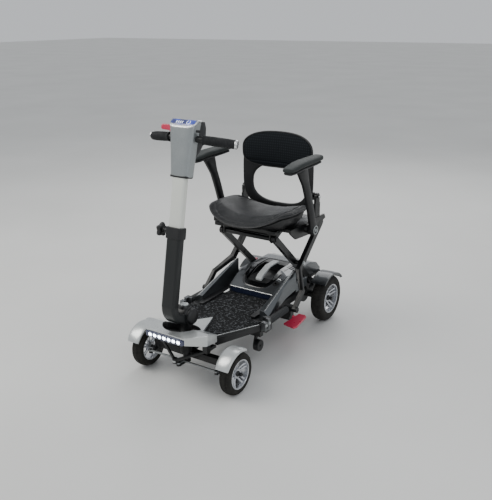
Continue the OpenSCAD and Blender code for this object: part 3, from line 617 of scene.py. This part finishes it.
# ---- Bellows and fairings -----------------------------------------------------------------
# A rubber bellows hides each side rail, and a long silver fairing with a raised ridge runs up beside
# the battery cover.
low, high, mid = box("rail_bellows")
rings = 14
s = np.linspace(0, 1, rings * 8 + 1)
fold = 11.4 + 2.6 * np.cos(2 * np.pi * (s * rings + 0.5))
both = []
for sign in (1, -1):
    x = sign * (high[0] - 13)
    outside = list(zip(fold, s * (high[1] - low[1])))
    inside = [(7.2, high[1] - low[1]), (7.2, 0)]
    both.append(turned(outside + inside, (x, low[1], mid[2]), (0, 1, 0), 40, closed=True))
bellows_rubber = moulded_plastic("bellows_rubber", "#26282A", 0.55)
piece("rail_bellows_folds", both, bellows_rubber, "chassis", "black_plastic", "rail_bellows", smooth=80)
fairing_paint = satin_casting("fairing_gunmetal_lacquer", "#63676A", 0.36)
for sign, hand in ((1, "left"), (-1, "right")):
    node = f"fairing_{hand}"
    refined(node, fairing_paint, 3.0, 3)
    low, high, mid = box(node)
    inner = sign * 143
    line = np.array([(sign * 153, low[1] + 6, 203.5), (sign * 149, low[1] + 90, 233),
                     (inner, low[1] + 181, 263), (inner, high[1] - 96, 284.5)])
    along = np.linspace(0, 3, 40)
    path = np.stack([np.interp(along, range(4), line[:, k]) for k in range(3)], -1)
    piece(node + "_ridge", [rod(path, 5.5, 2.4, (1, 0, 0), 16)], bright_strip, "chassis", "shell_silver")


# ---- Rear cover and battery ---------------------------------------------------------------
# A crowned gunmetal cover over the motor, with the removable battery in its middle under a pale carry handle
# and inside a gloss black oval, a dark front face with a bright edge, louvres on both sides, and the charging socket on its front slope.
refined("rear_cover", gunmetal_paint, 4.0, 3)
low, high, mid = box("rear_cover")
face_top = low[2] + 26
cover_crest = high[2] + 400 - math.sqrt(400 ** 2 - 57 ** 2)
edge = np.stack([np.linspace(-102, 102, 40), np.full(40, low[1] + 1.2), np.full(40, face_top)], -1)
piece("cover_bright_edge", [rod(edge, 3.2, 3.2, (0, 0, 1), 12)], bright_strip, "chassis", "shell_silver")
dark_navy = moulded_plastic("navy_gloss_abs", "#1A2033", 0.25)
face = slab((-100, low[1] - 1.2, low[2] + 3), (100, low[1] + 2, face_top - 2.2), 8)
piece("cover_front_face", [face], dark_navy, "chassis", "black_plastic")
refined("battery_pack", black_plastic, 3.0)
pale_abs = moulded_plastic("pale_grey_abs", "#C4C7C6", 0.4)
refined("battery_handle", pale_abs, 3.0, 3)
refined("charge_port", black_plastic, 0.8)


def slope(x, back, out):
    """A point on the cover's front slope, back millimetres up it from the socket and out millimetres off it."""
    c, sn = math.cos(math.radians(28.7)), math.sin(math.radians(28.7))
    port = box("charge_port")[2]
    top = np.array((port[0], port[1] + 5.0, port[2] + 9.6))
    return top + np.array((x, back * c - out * sn, back * sn + out * c))


normal = (0, -math.sin(math.radians(28.7)), math.cos(math.radians(28.7)))
collar = [(15.4, -1), (19.5, -1), (19.5, 1.6), (18.2, 2.6), (16.4, 2.6), (15.4, 1.6)]
collar = turned(collar, slope(0, 0, 0), normal, 48, closed=True)
piece("charge_port_ring", [collar], bright_strip, "chassis", "shell_silver")
louvres = []
for sign in (1, -1):
    for k in range(5):
        y = low[1] + 176 + 14 * k
        x = np.linspace(64, 98, 12)
        crown = cover_crest - 400 + np.sqrt(400 ** 2 - x ** 2)
        louvres.append(rod(np.stack([sign * x, np.full(12, y), crown + 0.5], -1), 7, 2.4, (0, 1, 0), 12))
piece("cover_louvres", louvres, black_plastic, "chassis", "black_plastic")
infill = []
for sign in (1, -1):
    s = np.linspace(0, 1, 24)
    path = np.stack([np.full(24, sign * 121), low[1] - 178 + s * 364, low[2] + np.interp(s, [0, 0.4, 1], [6, 10, 24])], -1)
    infill.append(rod(path, np.interp(s, [0, 0.1, 0.4, 1], [20, 25, 26, 26]), 5, (1, 0, 0), 24, 8))
    x = 118 if sign > 0 else -174
    infill.append(slab((x, front_y + 226, 160), (x + 56, front_y + 268, 177), 6))
infill.append(slab((-119, low[1] - 22, 160), (119, low[1] + 16, 176.5), 6))
piece("cover_side_infill", infill, black_plastic, "chassis", "black_plastic")


def cover_height(x, back):
    """Height of the cover at x across and back millimetres behind its front edge: the lower of its side profile and its crown,
    an arc of 400 mm across."""
    profile = cover_crest + np.interp(back, [0, 62, 132, 192, 292, 362], [-62, -28, -6, 0, -10, -30])
    return np.minimum(profile, cover_crest - 400 + np.sqrt(400 ** 2 - x ** 2))


a = np.linspace(0, 2 * np.pi, 120, endpoint=False)
surround = []
for share, proud in ((0, -3), (0, 0.9), (0.3, 1.1), (0.65, 1.1), (0.95, 1.0), (1, 0.2), (1, -3)):
    x, back = squared(a, 2 / (0.25 + 0.3 * share))
    x, back = (57.5 + 22 * share) * x, 138 + (95.5 + 26 * share) * back
    surround.append(np.stack([x, low[1] + back, cover_height(x, back) + proud], -1))
gloss_black = moulded_plastic("gloss_black_abs", "#08090B", 0.14, Coat_Weight=0.6)
surround = skin(np.stack(surround), wrap_u=True, wrap_v=True)
piece("battery_surround", [surround], gloss_black, "chassis", "black_plastic", smooth=50)

red_abs = moulded_plastic("red_abs", "#C4274B", 0.32, 1.4, 0.03, Coat_Weight=0.3)
refined("fold_pedal", red_abs, 2.0, 3)
refined("freewheel_lever", red_abs, 1.5, 3)


# ---- Tiller -------------------------------------------------------------------------------
# A black lower tube bends forward into the folding hub; a satin aluminium tube slides in it and is clamped
# by a lobed knob.
slide = np.array(next(j for j in frame["joints"] if j["name"] == "stem_slide")["axis"], float)
clamp = joint("knob_turn")
lean_y = np.array((0, slide[2], -slide[1]))
clamp_t = 229


def stem(x, y, t):
    """Points in the stem's own frame: x across, y back and square to the stem, t along it; the clamp lies at t = 229."""
    x, y, t = np.broadcast_arrays(x, y, t)
    x, y, t = x[..., None], y[..., None], t[..., None]
    return np.array((0, clamp[1], clamp[2])) + x * np.array((1, 0, 0)) + y * lean_y + (t - clamp_t) * slide


stem_coat = powder_coat("powder_coat_stem", "#141718", 0.4)
refined("lower_stem", stem_coat, 2.0, 3)


def satin_aluminium(name, colour):
    """Drawn and anodised aluminium: a metal with faint lines along its length, 0.6 mm apart."""
    made, tree, shader, coords = start_material(name, colour, 0.42, 0.55)
    lines = speckle(tree, coords, 0.6, 2, (1, 1, 0.01))
    vary(tree, shader, "Roughness", lines, 0.36, 0.5)
    relief(tree, shader, lines, 0.01)
    return made


refined("upper_stem", satin_aluminium("satin_aluminium", "#E6E8E0"), 1.5, 3)


def squared_ring(half_x, half_y, t, power=7, count=64):
    """A closed superellipse round the stem at height t."""
    a = np.linspace(0, 2 * np.pi, count, endpoint=False)
    x, y = squared(a, power)
    return stem(half_x * x, half_y * y, t)


sleeve = [(29.0, 18.0, 206), (31.0, 20.0, 207.5), (31.4, 20.4, 212), (31.2, 20.2, 240), (30.6, 19.6, 245),
          (28.8, 18.0, 246.5), (25.6, 13.6, 246.5), (25.6, 13.6, 243)]
sleeve = np.stack([squared_ring(*p) for p in sleeve])
piece("stem_clamp_sleeve", [skin(sleeve, wrap_v=True)], black_plastic, "tiller", "black_plastic")
a = np.linspace(0, 2 * np.pi, 80, endpoint=False)
lobe = 1.28 + 0.2 * np.cos(5 * a)
stalk = 10.5 + 0 * a
knob = [(0 * a, 24.5), (6 * lobe, 24.5), (15.5 * lobe, 23), (17.2 * lobe, 19), (17.2 * lobe, 12), (15 * lobe, 9),
        (stalk, 8), (stalk, 0.5), (0 * a, 0.5)]
knob = turned(knob, stem(-46.5, 0, clamp_t), (-1, 0, 0), 80)
piece("clamp_knob_lobed", [knob], black_plastic, "knob", "black_plastic", "clamp_knob", smooth=50)
hub = joint("tiller_fold")
cheek = [(0, 26.4), (27.5, 26.4), (29.6, 29), (30, 33), (28.6, 37.5), (24.5, 41.5), (17, 44.4), (8, 45.8), (0, 46)]
cheeks = [turned(cheek, hub, (sign, 0, 0), 64) for sign in (1, -1)]
piece("tiller_hub_covers", cheeks, black_plastic, "tiller", "black_plastic")
drum = [(0, -25.4), (27.5, -25.4), (31, -22), (33, -14), (33.5, 0), (33, 14), (31, 22), (27.5, 25.4), (0, 25.4)]
points, faces = turned(drum, hub, (1, 0, 0), 96)
points[:, 2] = np.maximum(points[:, 2], hub[2] - 21)
neck = turned([(0, 28), (21, 28), (20, 34), (17, 38), (0, 38)], hub, (0, 0, 1), 48)
piece("column_knuckle_cover", [(points, faces), neck], black_plastic, "column", "black_plastic")
cap = [(0, 36), (14.4, 36), (15, 38.4), (14, 41.2), (10, 42.8), (5, 43.4), (0, 43.5)]
piece("column_top_cap", [turned(cap, hub, (0, 0, 1), 48)], satin_bracket, "column", "bracket_metal")


# ---- Console ------------------------------------------------------------------------------
# A silver-grey two-part moulded shell on top of the stem, with a lit sloping panel in a bright frame
# and a dark hump towards the rider. The bar runs through it and ends in ribbed rubber grips.
console_paint = metallic_paint("console_flake_paint", "#9EA3A4", 0.36)
dark_abs = moulded_plastic("dark_grey_abs", "#1D1F22", 0.42)
console_t = 415
front_y_low, front_y_high, crest_y, back_y = -16, -24, -2, 26
crest, brow = console_t + 188, console_t + 164


def top_of(y):
    """Height of the console's top edge over a place y back from the stem: a slope from the brow up to the crest, then level."""
    return np.interp(y, [front_y_high, crest_y, back_y], [brow, crest, crest])


def shell_row(f, grow=0.0, power=6.0, count=96):
    """One row of the console's shell, a fraction f of the way up: a superellipse, rounder in front, that widens from 37 to
    53 mm each side, and whose height follows the sloping top."""
    a = np.linspace(0, 2 * np.pi, count, endpoint=False)
    half = 37.5 + 16 * f ** 1.25 + grow
    front = front_y_low + (front_y_high - front_y_low) * f - grow
    mid, deep = (front + back_y) / 2, (back_y - front) / 2
    x, y = squared(a, np.where(np.sin(a) < 0, 3.6, power))
    x, y = half * x, mid + deep * y
    return stem(x, y, console_t + (top_of(y) - console_t) * f)


rows = [(0.0, -3), (0.004, -1), (0.014, 0)] + [(f, 0) for f in np.linspace(0.05, 0.97, 22)]
rows = np.stack([shell_row(*r) for r in rows + [(0.985, -0.6), (1.0, -2.6), (1.0, -4.6)]])
shell = skin(rows, wrap_v=True, caps=True)
piece("console_shell", [shell], console_paint, "head", "console_grey", "console_front", smooth=50)
f = np.linspace(0, 1, 30)[:, None]
a = np.linspace(0, np.pi, 33)
swell = np.interp(f, [0, 0.2, 0.45, 0.65, 0.85, 1], [2, 28, 48, 50, 46, 33])
half = 46 + 5 * f - 10 * (1 - f) ** 3
hump_t = console_t + 62 + 123 * f + 0 * a
hump_x = half * squared(a, 2 / 0.55)[0]
hump_y = back_y - 8 + (8 + swell) * np.abs(np.sin(a)) ** 0.6
hump = stem(hump_x, hump_y, hump_t)
piece("console_rear_hump", [skin(hump, wrap_v=True, caps=True)], dark_abs, "head", "dark_plastic", "console_rear", smooth=50)


def lit_display(name):
    """A printed panel under clear gloss: deep blue, lit from behind and brighter in its middle patches of 30 mm."""
    made, tree, shader, coords = start_material(name, "#2B3FA0", 0.1, IOR=1.5, Coat_Weight=1.0, Emission_Strength=0.35)
    ramp = add(tree, "ShaderNodeValToRGB", {"Fac": speckle(tree, coords, 34, 1)})
    ramp.color_ramp.elements[0].position, ramp.color_ramp.elements[1].position = 0.35, 0.65
    ramp.color_ramp.elements[0].color, ramp.color_ramp.elements[1].color = linear("#172262"), linear("#3450C8")
    tree.links.new(ramp.outputs["Color"], shader.inputs["Base Color"])
    tree.links.new(ramp.outputs["Color"], shader.inputs["Emission Color"])
    return made


def on_panel(x, y, out):
    """Points over the sloping panel: x across, y back from the stem, out millimetres off the slope."""
    run, rise = crest_y - front_y_high, crest - brow
    return stem(x, y - out * rise / math.hypot(run, rise), top_of(np.asarray(y, float)) + out * run / math.hypot(run, rise))


x = 49 * np.sin(np.linspace(-np.pi / 2, np.pi / 2, 48))
front_edge = 1 - 25 * (1 - np.abs(x / 53.5) ** 3.6) ** (1 / 3.6) + 3.6
shore = np.concatenate([np.stack([x, front_edge], -1), np.stack([-x, np.full(48, crest_y - 1.4)], -1)])
middle_of = np.array((0, -12))
rings = []
for size, out in ((0.0, 1.4), (0.5, 1.4), (0.93, 1.3), (0.98, 1.0), (1.0, 0.4), (1.0, -2.0), (0.0, -2.0)):
    place = middle_of + size * (shore - middle_of)
    rings.append(on_panel(place[:, 0], place[:, 1], out))
panel = skin(np.stack(rings), wrap_v=True)
piece("console_display", [panel], lit_display("lit_display"), "head", "display", "console_panel", smooth=50)
white_print = clear_lamp("lit_white_print", "#E9F0FF", 0.8)[0]
marks = [rod(on_panel(-24 + 8 * k, np.array((-15.0, -9.0)), 1.6), 3.4, 1.2, (1, 0, 0), 8, 4) for k in range(4)]
q = 2 + np.linspace(0, 1.75 * np.pi, 30)
marks.append(rod(on_panel(24 + 7 * np.cos(q), -11.5 + 4.8 * np.sin(q), 1.6), 2.0, 1.2, (1, 0, 0), 8))
piece("display_marks", marks, white_print, "head", "display")
bright_abs = satin_casting("bright_plated_abs", "#E2E4E4", 0.14)
edge = shell_row(0.985, 0.4)
piece("display_bright_frame", [rod(edge, 5.6, 4.4, slide, 14, closed=True)], bright_abs, "head", "console_grey", smooth=60)
base = [(34.6, 17.6, -3), (36.4, 19.4, -2), (36.8, 20.2, 3), (35, 19, 4.5), (26, 14, 4.5), (26, 14, -3)]
base = np.stack([squared_ring(x, y, console_t + t) for x, y, t in base])
base += 4 * lean_y
piece("console_base_trim", [skin(base, wrap_u=True, wrap_v=True)], black_plastic, "head", "black_plastic")
slot_path = stem(50.6, np.linspace(-2, 18, 8), console_t + 153)
piece("console_side_slot", [rod(slot_path, 3, 8.5, (1, 0, 0), 16)], black_plastic, "head", "black_plastic")
refined("handlebar", frame_coat, 0.8)


def grip_rubber(name, colour):
    """Thermoplastic rubber over the bar: soft and dull, with a fine pebble of 1 mm."""
    made, tree, shader, coords = start_material(name, colour, 0.68, IOR=1.5, Specular_IOR_Level=0.35)
    pebble = add(tree, "ShaderNodeTexVoronoi", {"Vector": coords, "Scale": 1000 / 1.1}).outputs["Distance"]
    relief(tree, shader, pebble, 0.12)
    vary(tree, shader, "Roughness", speckle(tree, coords, 18), 0.6, 0.78)
    return made


soft_grip = grip_rubber("grip_rubber", "#17191B")
bar_t, bar_y = 543, 7
grips, rings_end = [], []
for sign in (1, -1):
    root, tip = stem(sign * 40, bar_y, bar_t), stem(sign * 176, 53, bar_t - 5)
    way = (tip - root) / np.linalg.norm(tip - root)
    start, end = 28, 28 + 115
    s = np.linspace(0, 1, 140)
    ribs = 0.8 * np.cos(2 * np.pi * s * 22) * np.clip((s - 0.1) * 20, 0, 1) * np.clip((0.9 - s) * 20, 0, 1)
    swell = 14.6 + 0.9 * np.sin(np.pi * s) + 2.6 * np.exp(-((s - 0.02) / 0.02) ** 2) + ribs * 0.7
    outside = list(zip(swell, start + s * (end - start - 4)))
    grips.append(turned(outside + [(11.3, end - 4), (11.3, start)], root, way, 64, closed=True))
    stop = [(0, end - 5), (14.2, end - 5), (15.2, end - 3.5), (15.2, end), (13.6, end + 2), (0, end + 2.6)]
    rings_end.append(turned(stop, root, way, 48))
piece("grips_ribbed", grips, soft_grip, "head", "grip_rubber", "grips", smooth=60)
piece("grip_end_rings", rings_end, bright_abs, "head", "rim_silver")
lever = joint("throttle_press")
q = np.linspace(-4, 50, 24)
path = lever + slide * 12.5 - q[:, None] * np.array((1, 0, 0)) + (q * 0.17 - 0.004 * q * (q - 45))[:, None] * lean_y
wide = np.interp(np.linspace(0, 1, 24), [0, 0.15, 0.4, 0.9, 1], [12, 17, 20, 19, 15])
boss = turned([(2.6, -0.4), (8, -0.4), (8.6, 1), (8.6, 9), (7.6, 10.6), (2.6, 10.6)], lever, slide, 40, closed=True)
piece("throttle_lever_paddle", [rod(path, wide, 8, slide, 24, 4), boss], red_abs, "throttle", "red_plastic", "throttle_lever")


# ---- Scissor lift -------------------------------------------------------------------------
# Two crossed pairs of pressed steel arms raise the seat; the outer pair bends outwards to its feet.
# Flanged screws hold every pivot.
arm_coat = powder_coat("powder_coat_arm", "#0B0C0D", 0.34)
for hand in ("left", "right"):
    refined(f"inner_arm_{hand}", arm_coat, 1.6, 3)
    refined(f"outer_arm_{hand}", arm_coat, 1.6, 3)
refined("cross_bar", arm_coat, 1.0)
foot, cross = joint("seat_fold"), joint("arm_cross")
feet, crossings = [], []
for sign in (1, -1):
    out = (sign, 0, 0)
    feet += bolt((sign * box("outer_arm_left")[1][0], foot[1], foot[2]), out, 8)
    crossings += bolt((sign * 168, cross[1], cross[2]), out, 8)
piece("arm_foot_screws", feet, zinc, "chassis", "bracket_metal")
piece("arm_crossing_screws", crossings, zinc, "outer_arms", "bracket_metal")


# ---- Seat ---------------------------------------------------------------------------------
# A thin saddle of foam on a black moulded pan, covered in dark grained vinyl with black piping round its edge.
# The foam is swelled by a cloth simulation, and the stitched line inside the edge is drawn in afterwards.
def grained_vinyl(name, colour):
    """PVC-coated cloth, embossed: soft gloss, with a leather grain of 1.8 mm cells and a faint larger wrinkle."""
    made, tree, shader, coords = start_material(name, colour, 0.47, IOR=1.5, Specular_IOR_Level=0.35, Sheen_Weight=0.03)
    voronoi = add(tree, "ShaderNodeTexVoronoi", {"Vector": coords, "Scale": 1000 / 1.8}, feature="DISTANCE_TO_EDGE")
    cells = voronoi.outputs["Distance"]
    skin_map = add(tree, "ShaderNodeMapRange", {"Value": cells, 1: 0.0, 2: 0.25, 3: 0.0, 4: 1.0}).outputs[0]
    mixed = add(tree, "ShaderNodeMath", {0: skin_map, 1: speckle(tree, coords, 14, 3)}, operation="ADD").outputs[0]
    relief(tree, shader, mixed, 0.16)
    vary(tree, shader, "Roughness", speckle(tree, coords, 60), 0.38, 0.52)
    return made


def woven_cloth(name, colour, light):
    """Polyester plain weave, dull: two sets of threads 1.6 mm apart, drawn a little coarse so that they show."""
    made, tree, shader, coords = start_material(name, colour, 0.85, Specular_IOR_Level=0.12)
    sizes = {"Vector": coords, "Scale": 1000 / 1.6 / 20, "Distortion": 0.6}
    waves = [add(tree, "ShaderNodeTexWave", sizes, bands_direction=way).outputs["Fac"] for way in ("X", "Z")]
    threads = add(tree, "ShaderNodeMath", {0: waves[0], 1: waves[1]}, operation="MULTIPLY").outputs[0]
    tint(tree, shader, threads, colour, light, 0.1, 0.9)
    relief(tree, shader, threads, 0.22)
    return made


def spots(mesh):
    """The points of a mesh in millimetres."""
    flat = np.zeros(len(mesh.vertices) * 3, np.float32)
    mesh.vertices.foreach_get("co", flat)
    return flat.reshape(-1, 3).astype(float) * 1000


def move_to(mesh, points):
    """Sets the points of a mesh, in millimetres."""
    mesh.vertices.foreach_set("co", (points / 1000).astype(np.float32).ravel())
    mesh.update()


def filled(made, voxel, cap, held):
    """Swells a pad as its filling does. It is remeshed at voxel millimetres and blown up as cloth for 20 frames without gravity,
    while the points where held is true stay put; no point moves further than cap millimetres. One subdivision follows."""
    even = made.modifiers.new("even_mesh", "REMESH")
    even.mode, even.voxel_size = "VOXEL", voxel / 1000
    settled(made)
    start = spots(made.data)
    group = made.vertex_groups.new(name="held")
    group.add(np.nonzero(held(start))[0].tolist(), 1.0, "REPLACE")
    cloth = made.modifiers.new("filling", "CLOTH")
    cloth.settings.quality = 4
    cloth.settings.use_pressure, cloth.settings.uniform_pressure_force = True, 4
    cloth.settings.effector_weights.gravity = 0
    cloth.settings.vertex_group_mass = "held"
    cloth.point_cache.frame_start, cloth.point_cache.frame_end = 1, 20
    for k in range(1, 21):
        bpy.context.scene.frame_set(k)
    settled(made)
    made.vertex_groups.clear()
    step = spots(made.data) - start
    size = np.linalg.norm(step, axis=1)[:, None]
    move_to(made.data, start + step * np.minimum(1, cap / np.maximum(size, 1e-6)))
    bpy.context.scene.frame_set(1)
    finer = made.modifiers.new("finer", "SUBSURF")
    finer.levels = finer.render_levels = 1
    return settled(made)


vinyl = grained_vinyl("dark_grained_vinyl", "#151719")
refined("seat_frame", arm_coat, 1.2)
low, high, mid = box("seat_cushion")
seat_half, seat_deep = (high[0] - low[0]) / 2 - 2, (high[1] - low[1]) / 2 - 1


def saddle(x, y):
    """Height of the seat's middle layer: a trough 400 mm in radius along the seat, 14 mm down at its front edge
    and 8 mm down at its back."""
    forward = np.clip((mid[1] - 62 - y) / 88, 0, 1)
    backward = np.clip((y - mid[1] - 98) / 52, 0, 1)
    trough = np.minimum(400 - np.sqrt(400 ** 2 - np.clip(x, -390, 390) ** 2), 34)
    return low[2] + 20 + trough - 14 * forward ** 2 - 8 * backward ** 2


def seat_edge(a, size):
    """Places round the seat's outline, a superellipse of power 2.8, shrunk by size."""
    x, y = squared(a, 2.8)
    return seat_half * size * x, mid[1] + seat_deep * size * y


a = np.linspace(0, 2 * np.pi, 144, endpoint=False)
size = np.sin(np.linspace(0, np.pi / 2, 34))
layers = []
for order, side in ((1, 1), (-1, -1)):
    x, y = seat_edge(a, size[::order][:, None])
    layers.append(np.stack([x, y, saddle(x, y) + side * 11 * np.sqrt(1 - size[::order][:, None] ** 6)], -1))
cushion = build("seat_saddle", [skin(np.concatenate(layers), wrap_v=True)], vinyl, 180)
filled(cushion, 5, 5, lambda q: q[:, 2] < saddle(q[:, 0], q[:, 1]) - 2)
points = spots(cushion.data)
reach = (np.abs(points[:, 0] / seat_half) ** 2.8 + np.abs((points[:, 1] - mid[1]) / seat_deep) ** 2.8) ** (1 / 2.8)
top_side = points[:, 2] > saddle(points[:, 0], points[:, 1])
points[:, 2] -= np.where(top_side, 2.2 * np.exp(-(((reach - 0.87) * 160) / 2.6) ** 2), 0)
move_to(cushion.data, points)
place_piece(cushion, "seat", "seat_vinyl", "seat_cushion")
x, y = seat_edge(a, 1.0)
piping = rod(np.stack([x, y, saddle(x, y) - 1], -1), 6, 6, (0, 0, 1), 12, closed=True)
piece("seat_piping", [piping], black_plastic, "seat", "black_plastic", smooth=80)
pan = []
for size_, f in ((0, 0), (0.9, 0), (0.955, 0.08), (0.95, 0.25), (0.9, 0.7), (0.84, 1.0), (0, 1.0)):
    x, y = seat_edge(a, size_)
    upper_z = saddle(x, y) - 8
    pan.append(np.stack([x, y, upper_z + (low[2] - 0.2 - upper_z) * f], -1))
piece("seat_pan", [skin(np.stack(pan), wrap_v=True)], black_plastic, "seat", "black_plastic", smooth=50)


# ---- Backrest -----------------------------------------------------------------------------
# A black moulded hoop, curved round the sitter, with an oval window; a padded woven cover fills its upper half.
# The cover's lower edge is a sewn roll. Two lugs fold it forward on the seat's brackets.
hinge = joint("backrest_fold")
low, high, mid = box("backrest_frame")
curve = 420
curve_y = high[1] - 10 - curve


def behind(x):
    """The hoop's front face over a place x: a cylinder of 420 mm radius that stands upright, centred in front of it."""
    return curve_y + np.sqrt(curve ** 2 - x ** 2)


a = np.linspace(0, 2 * np.pi, 160, endpoint=False)
outer, window = squared(a, np.where(np.sin(a) > 0, 3.1, 3.8)), squared(a, 2.5)
back_half, back_mid, back_tall = high[0], (low[2] - 12 + high[2]) / 2, (high[2] - low[2] + 12) / 2
f = np.linspace(0, 2 * np.pi, 20, endpoint=False)[:, None]
share, depth = 0.5 + 0.5 * squared(f, 5)[0], 5.5 + 6.5 * squared(f, 4)[1]
x = (1 - share) * 126 * window[0] + share * back_half * outer[0]
z = (1 - share) * (low[2] + 92 + 81 * window[1]) + share * (back_mid + back_tall * outer[1])
hoop = skin(np.stack([x, behind(x) + depth, z], -1), wrap_u=True, wrap_v=True)
lugs = [slab((x, hinge[1] - 21, hinge[2] - 16), (x + 14, hinge[1] + 9, hinge[2] + 16), 5) for x in (147.5, -161.5)]
hoop_piece = build("backrest_hoop", [hoop] + lugs, black_plastic, 60)
place_piece(hoop_piece, "backrest", "frame_black", "backrest_frame")
screws = [b for sign in (1, -1) for b in bolt((sign * 184.5, hinge[1], hinge[2]), (sign, 0, 0), 5)]
piece("backrest_hinge_screws", screws, zinc, "seat", "bracket_metal")
cloth = woven_cloth("dark_woven_cover", "#15181B", "#24282C")
pad_low = box("backrest_pad")[0]
pad_top, pad_foot = high[2] - 1, pad_low[2] + 12
pad_half, pad_centre, pad_tall = back_half - 4, (pad_top + pad_foot) / 2, (pad_top - pad_foot) / 2
size = np.sin(np.linspace(0, np.pi / 2, 30))[:, None]
padded = squared(a, np.where(np.sin(a) > 0, 2.6, 3.4))
layers = []
for order, bulge in ((1, 19.0), (-1, 0.0)):
    s = size[::order]
    x, z = pad_half * s * padded[0], pad_centre + pad_tall * s * padded[1]
    layers.append(np.stack([x, behind(x) - 1.4 - bulge * (1 - s ** 4) ** 0.55, z], -1))
cover = build("backrest_cover", [skin(np.concatenate(layers), wrap_v=True)], cloth, 180)
filled(cover, 4, 6, lambda q: q[:, 1] > behind(q[:, 0]) - 4)
points = spots(cover.data)
front = behind(points[:, 0]) - points[:, 1] > 6
seam = pad_low[2] + 34 + 6 * (points[:, 0] / pad_half) ** 2
points[:, 1] += np.where(front, 3.2 * np.exp(-((points[:, 2] - seam) / 3.2) ** 2), 0)
move_to(cover.data, points)
place_piece(cover, "backrest", "back_fabric", "backrest_pad")
x, z = (pad_half + 1) * padded[0], pad_centre + (pad_tall + 0.6) * padded[1]
welt = rod(np.stack([x, behind(x) - 3, z], -1), 8, 6.5, (0, 1, 0), 14, closed=True)
piece("backrest_welt", [welt], black_plastic, "backrest", "black_plastic", smooth=80)


# ---- Armrests -----------------------------------------------------------------------------
# Foamed polyurethane pads with a drooping front, on a black shell and a stout oval post that swings up at its foot.
# A bright ring and disc cover the pivot screw.
def foam_skin(name, colour):
    """Self-skinned polyurethane foam: dull and soft, with a fine pebble of 1.3 mm and grey scuffs."""
    made, tree, shader, coords = start_material(name, colour, 0.62, IOR=1.5, Specular_IOR_Level=0.35)
    relief(tree, shader, speckle(tree, coords, 1.3, 3), 0.14)
    tint(tree, shader, speckle(tree, coords, 30, 4), colour, "#2B302F")
    return made


foam = foam_skin("armrest_foam", "#212625")
for sign, hand in ((1, "left"), (-1, "right")):
    body = f"armrest_{hand[0]}"
    pivot = joint(f"armrest_{hand}_raise")
    low, high, mid = box(f"armrest_pad_{hand}")
    s = np.linspace(0, 1, 40)
    droop = -13 * np.clip((0.42 - s) / 0.42, 0, 1) ** 1.6
    y = low[1] + 6 + s * (high[1] - low[1] - 12)
    thick = np.interp(s, [0, 0.12, 0.5, 1], [17, 22, 25, 22])
    path = np.stack([np.full(40, mid[0]), y, high[2] - thick / 2 + droop], -1)
    wide = np.interp(s, [0, 0.1, 0.3, 0.8, 1], [42, 50, 55, 52, 44])
    pad = build(f"armrest_pad_{hand}_foam", [rod(path, wide, thick, (1, 0, 0), 40, 3.2)], foam, 180)
    filled(pad, 4, 2.5, lambda q: q[:, 2] < low[2] + 4)
    place_piece(pad, body, "armrest_foam", f"armrest_pad_{hand}")
    under = path + np.array((0, 0, 1)) * (-thick / 2 - 3.5)[:, None]
    shell = rod(under[1:-2], wide[1:-2] - 7, 11, (1, 0, 0), 32, 3)
    top = np.array((mid[0], mid[1] - 10, low[2] - 8))
    f = np.linspace(0, 1, 30)[:, None]
    line = pivot + f * (top - pivot) + np.array((0, 7, 0)) * np.sin(np.pi * f)
    wide = np.interp(f[:, 0], [0, 0.1, 0.8, 1], [25, 24, 24, 30])
    thick = np.interp(f[:, 0], [0, 0.15, 0.75, 1], [42, 37, 38, 66])
    post = rod(line, wide, thick, (1, 0, 0), 32, 2.4)
    base = [(8.2, -15), (21, -15), (22, -13), (22, 9), (20.5, 11.5), (8.2, 11.5)]
    base = turned(base, pivot, (sign, 0, 0), 48, closed=True)
    plug = turned([(0, 8), (8.4, 8), (8.4, 11.6), (0, 11.6)], pivot, (sign, 0, 0), 32)
    piece(f"armrest_{hand}_post", [shell, post, base, plug], black_plastic, body, "frame_black", f"armrest_{hand}", smooth=50)
    ring = [(13.5, 11), (18, 11), (18, 12.6), (17, 13.6), (14.5, 13.6), (13.5, 12.6)]
    ring = turned(ring, pivot, (sign, 0, 0), 48, closed=True)
    disc = turned([(0, 11), (7, 11), (7, 13), (6, 13.8), (0, 13.8)], pivot, (sign, 0, 0), 32)
    piece(f"armrest_{hand}_pivot_ring", [ring, disc], satin_bracket, body, "bracket_metal")
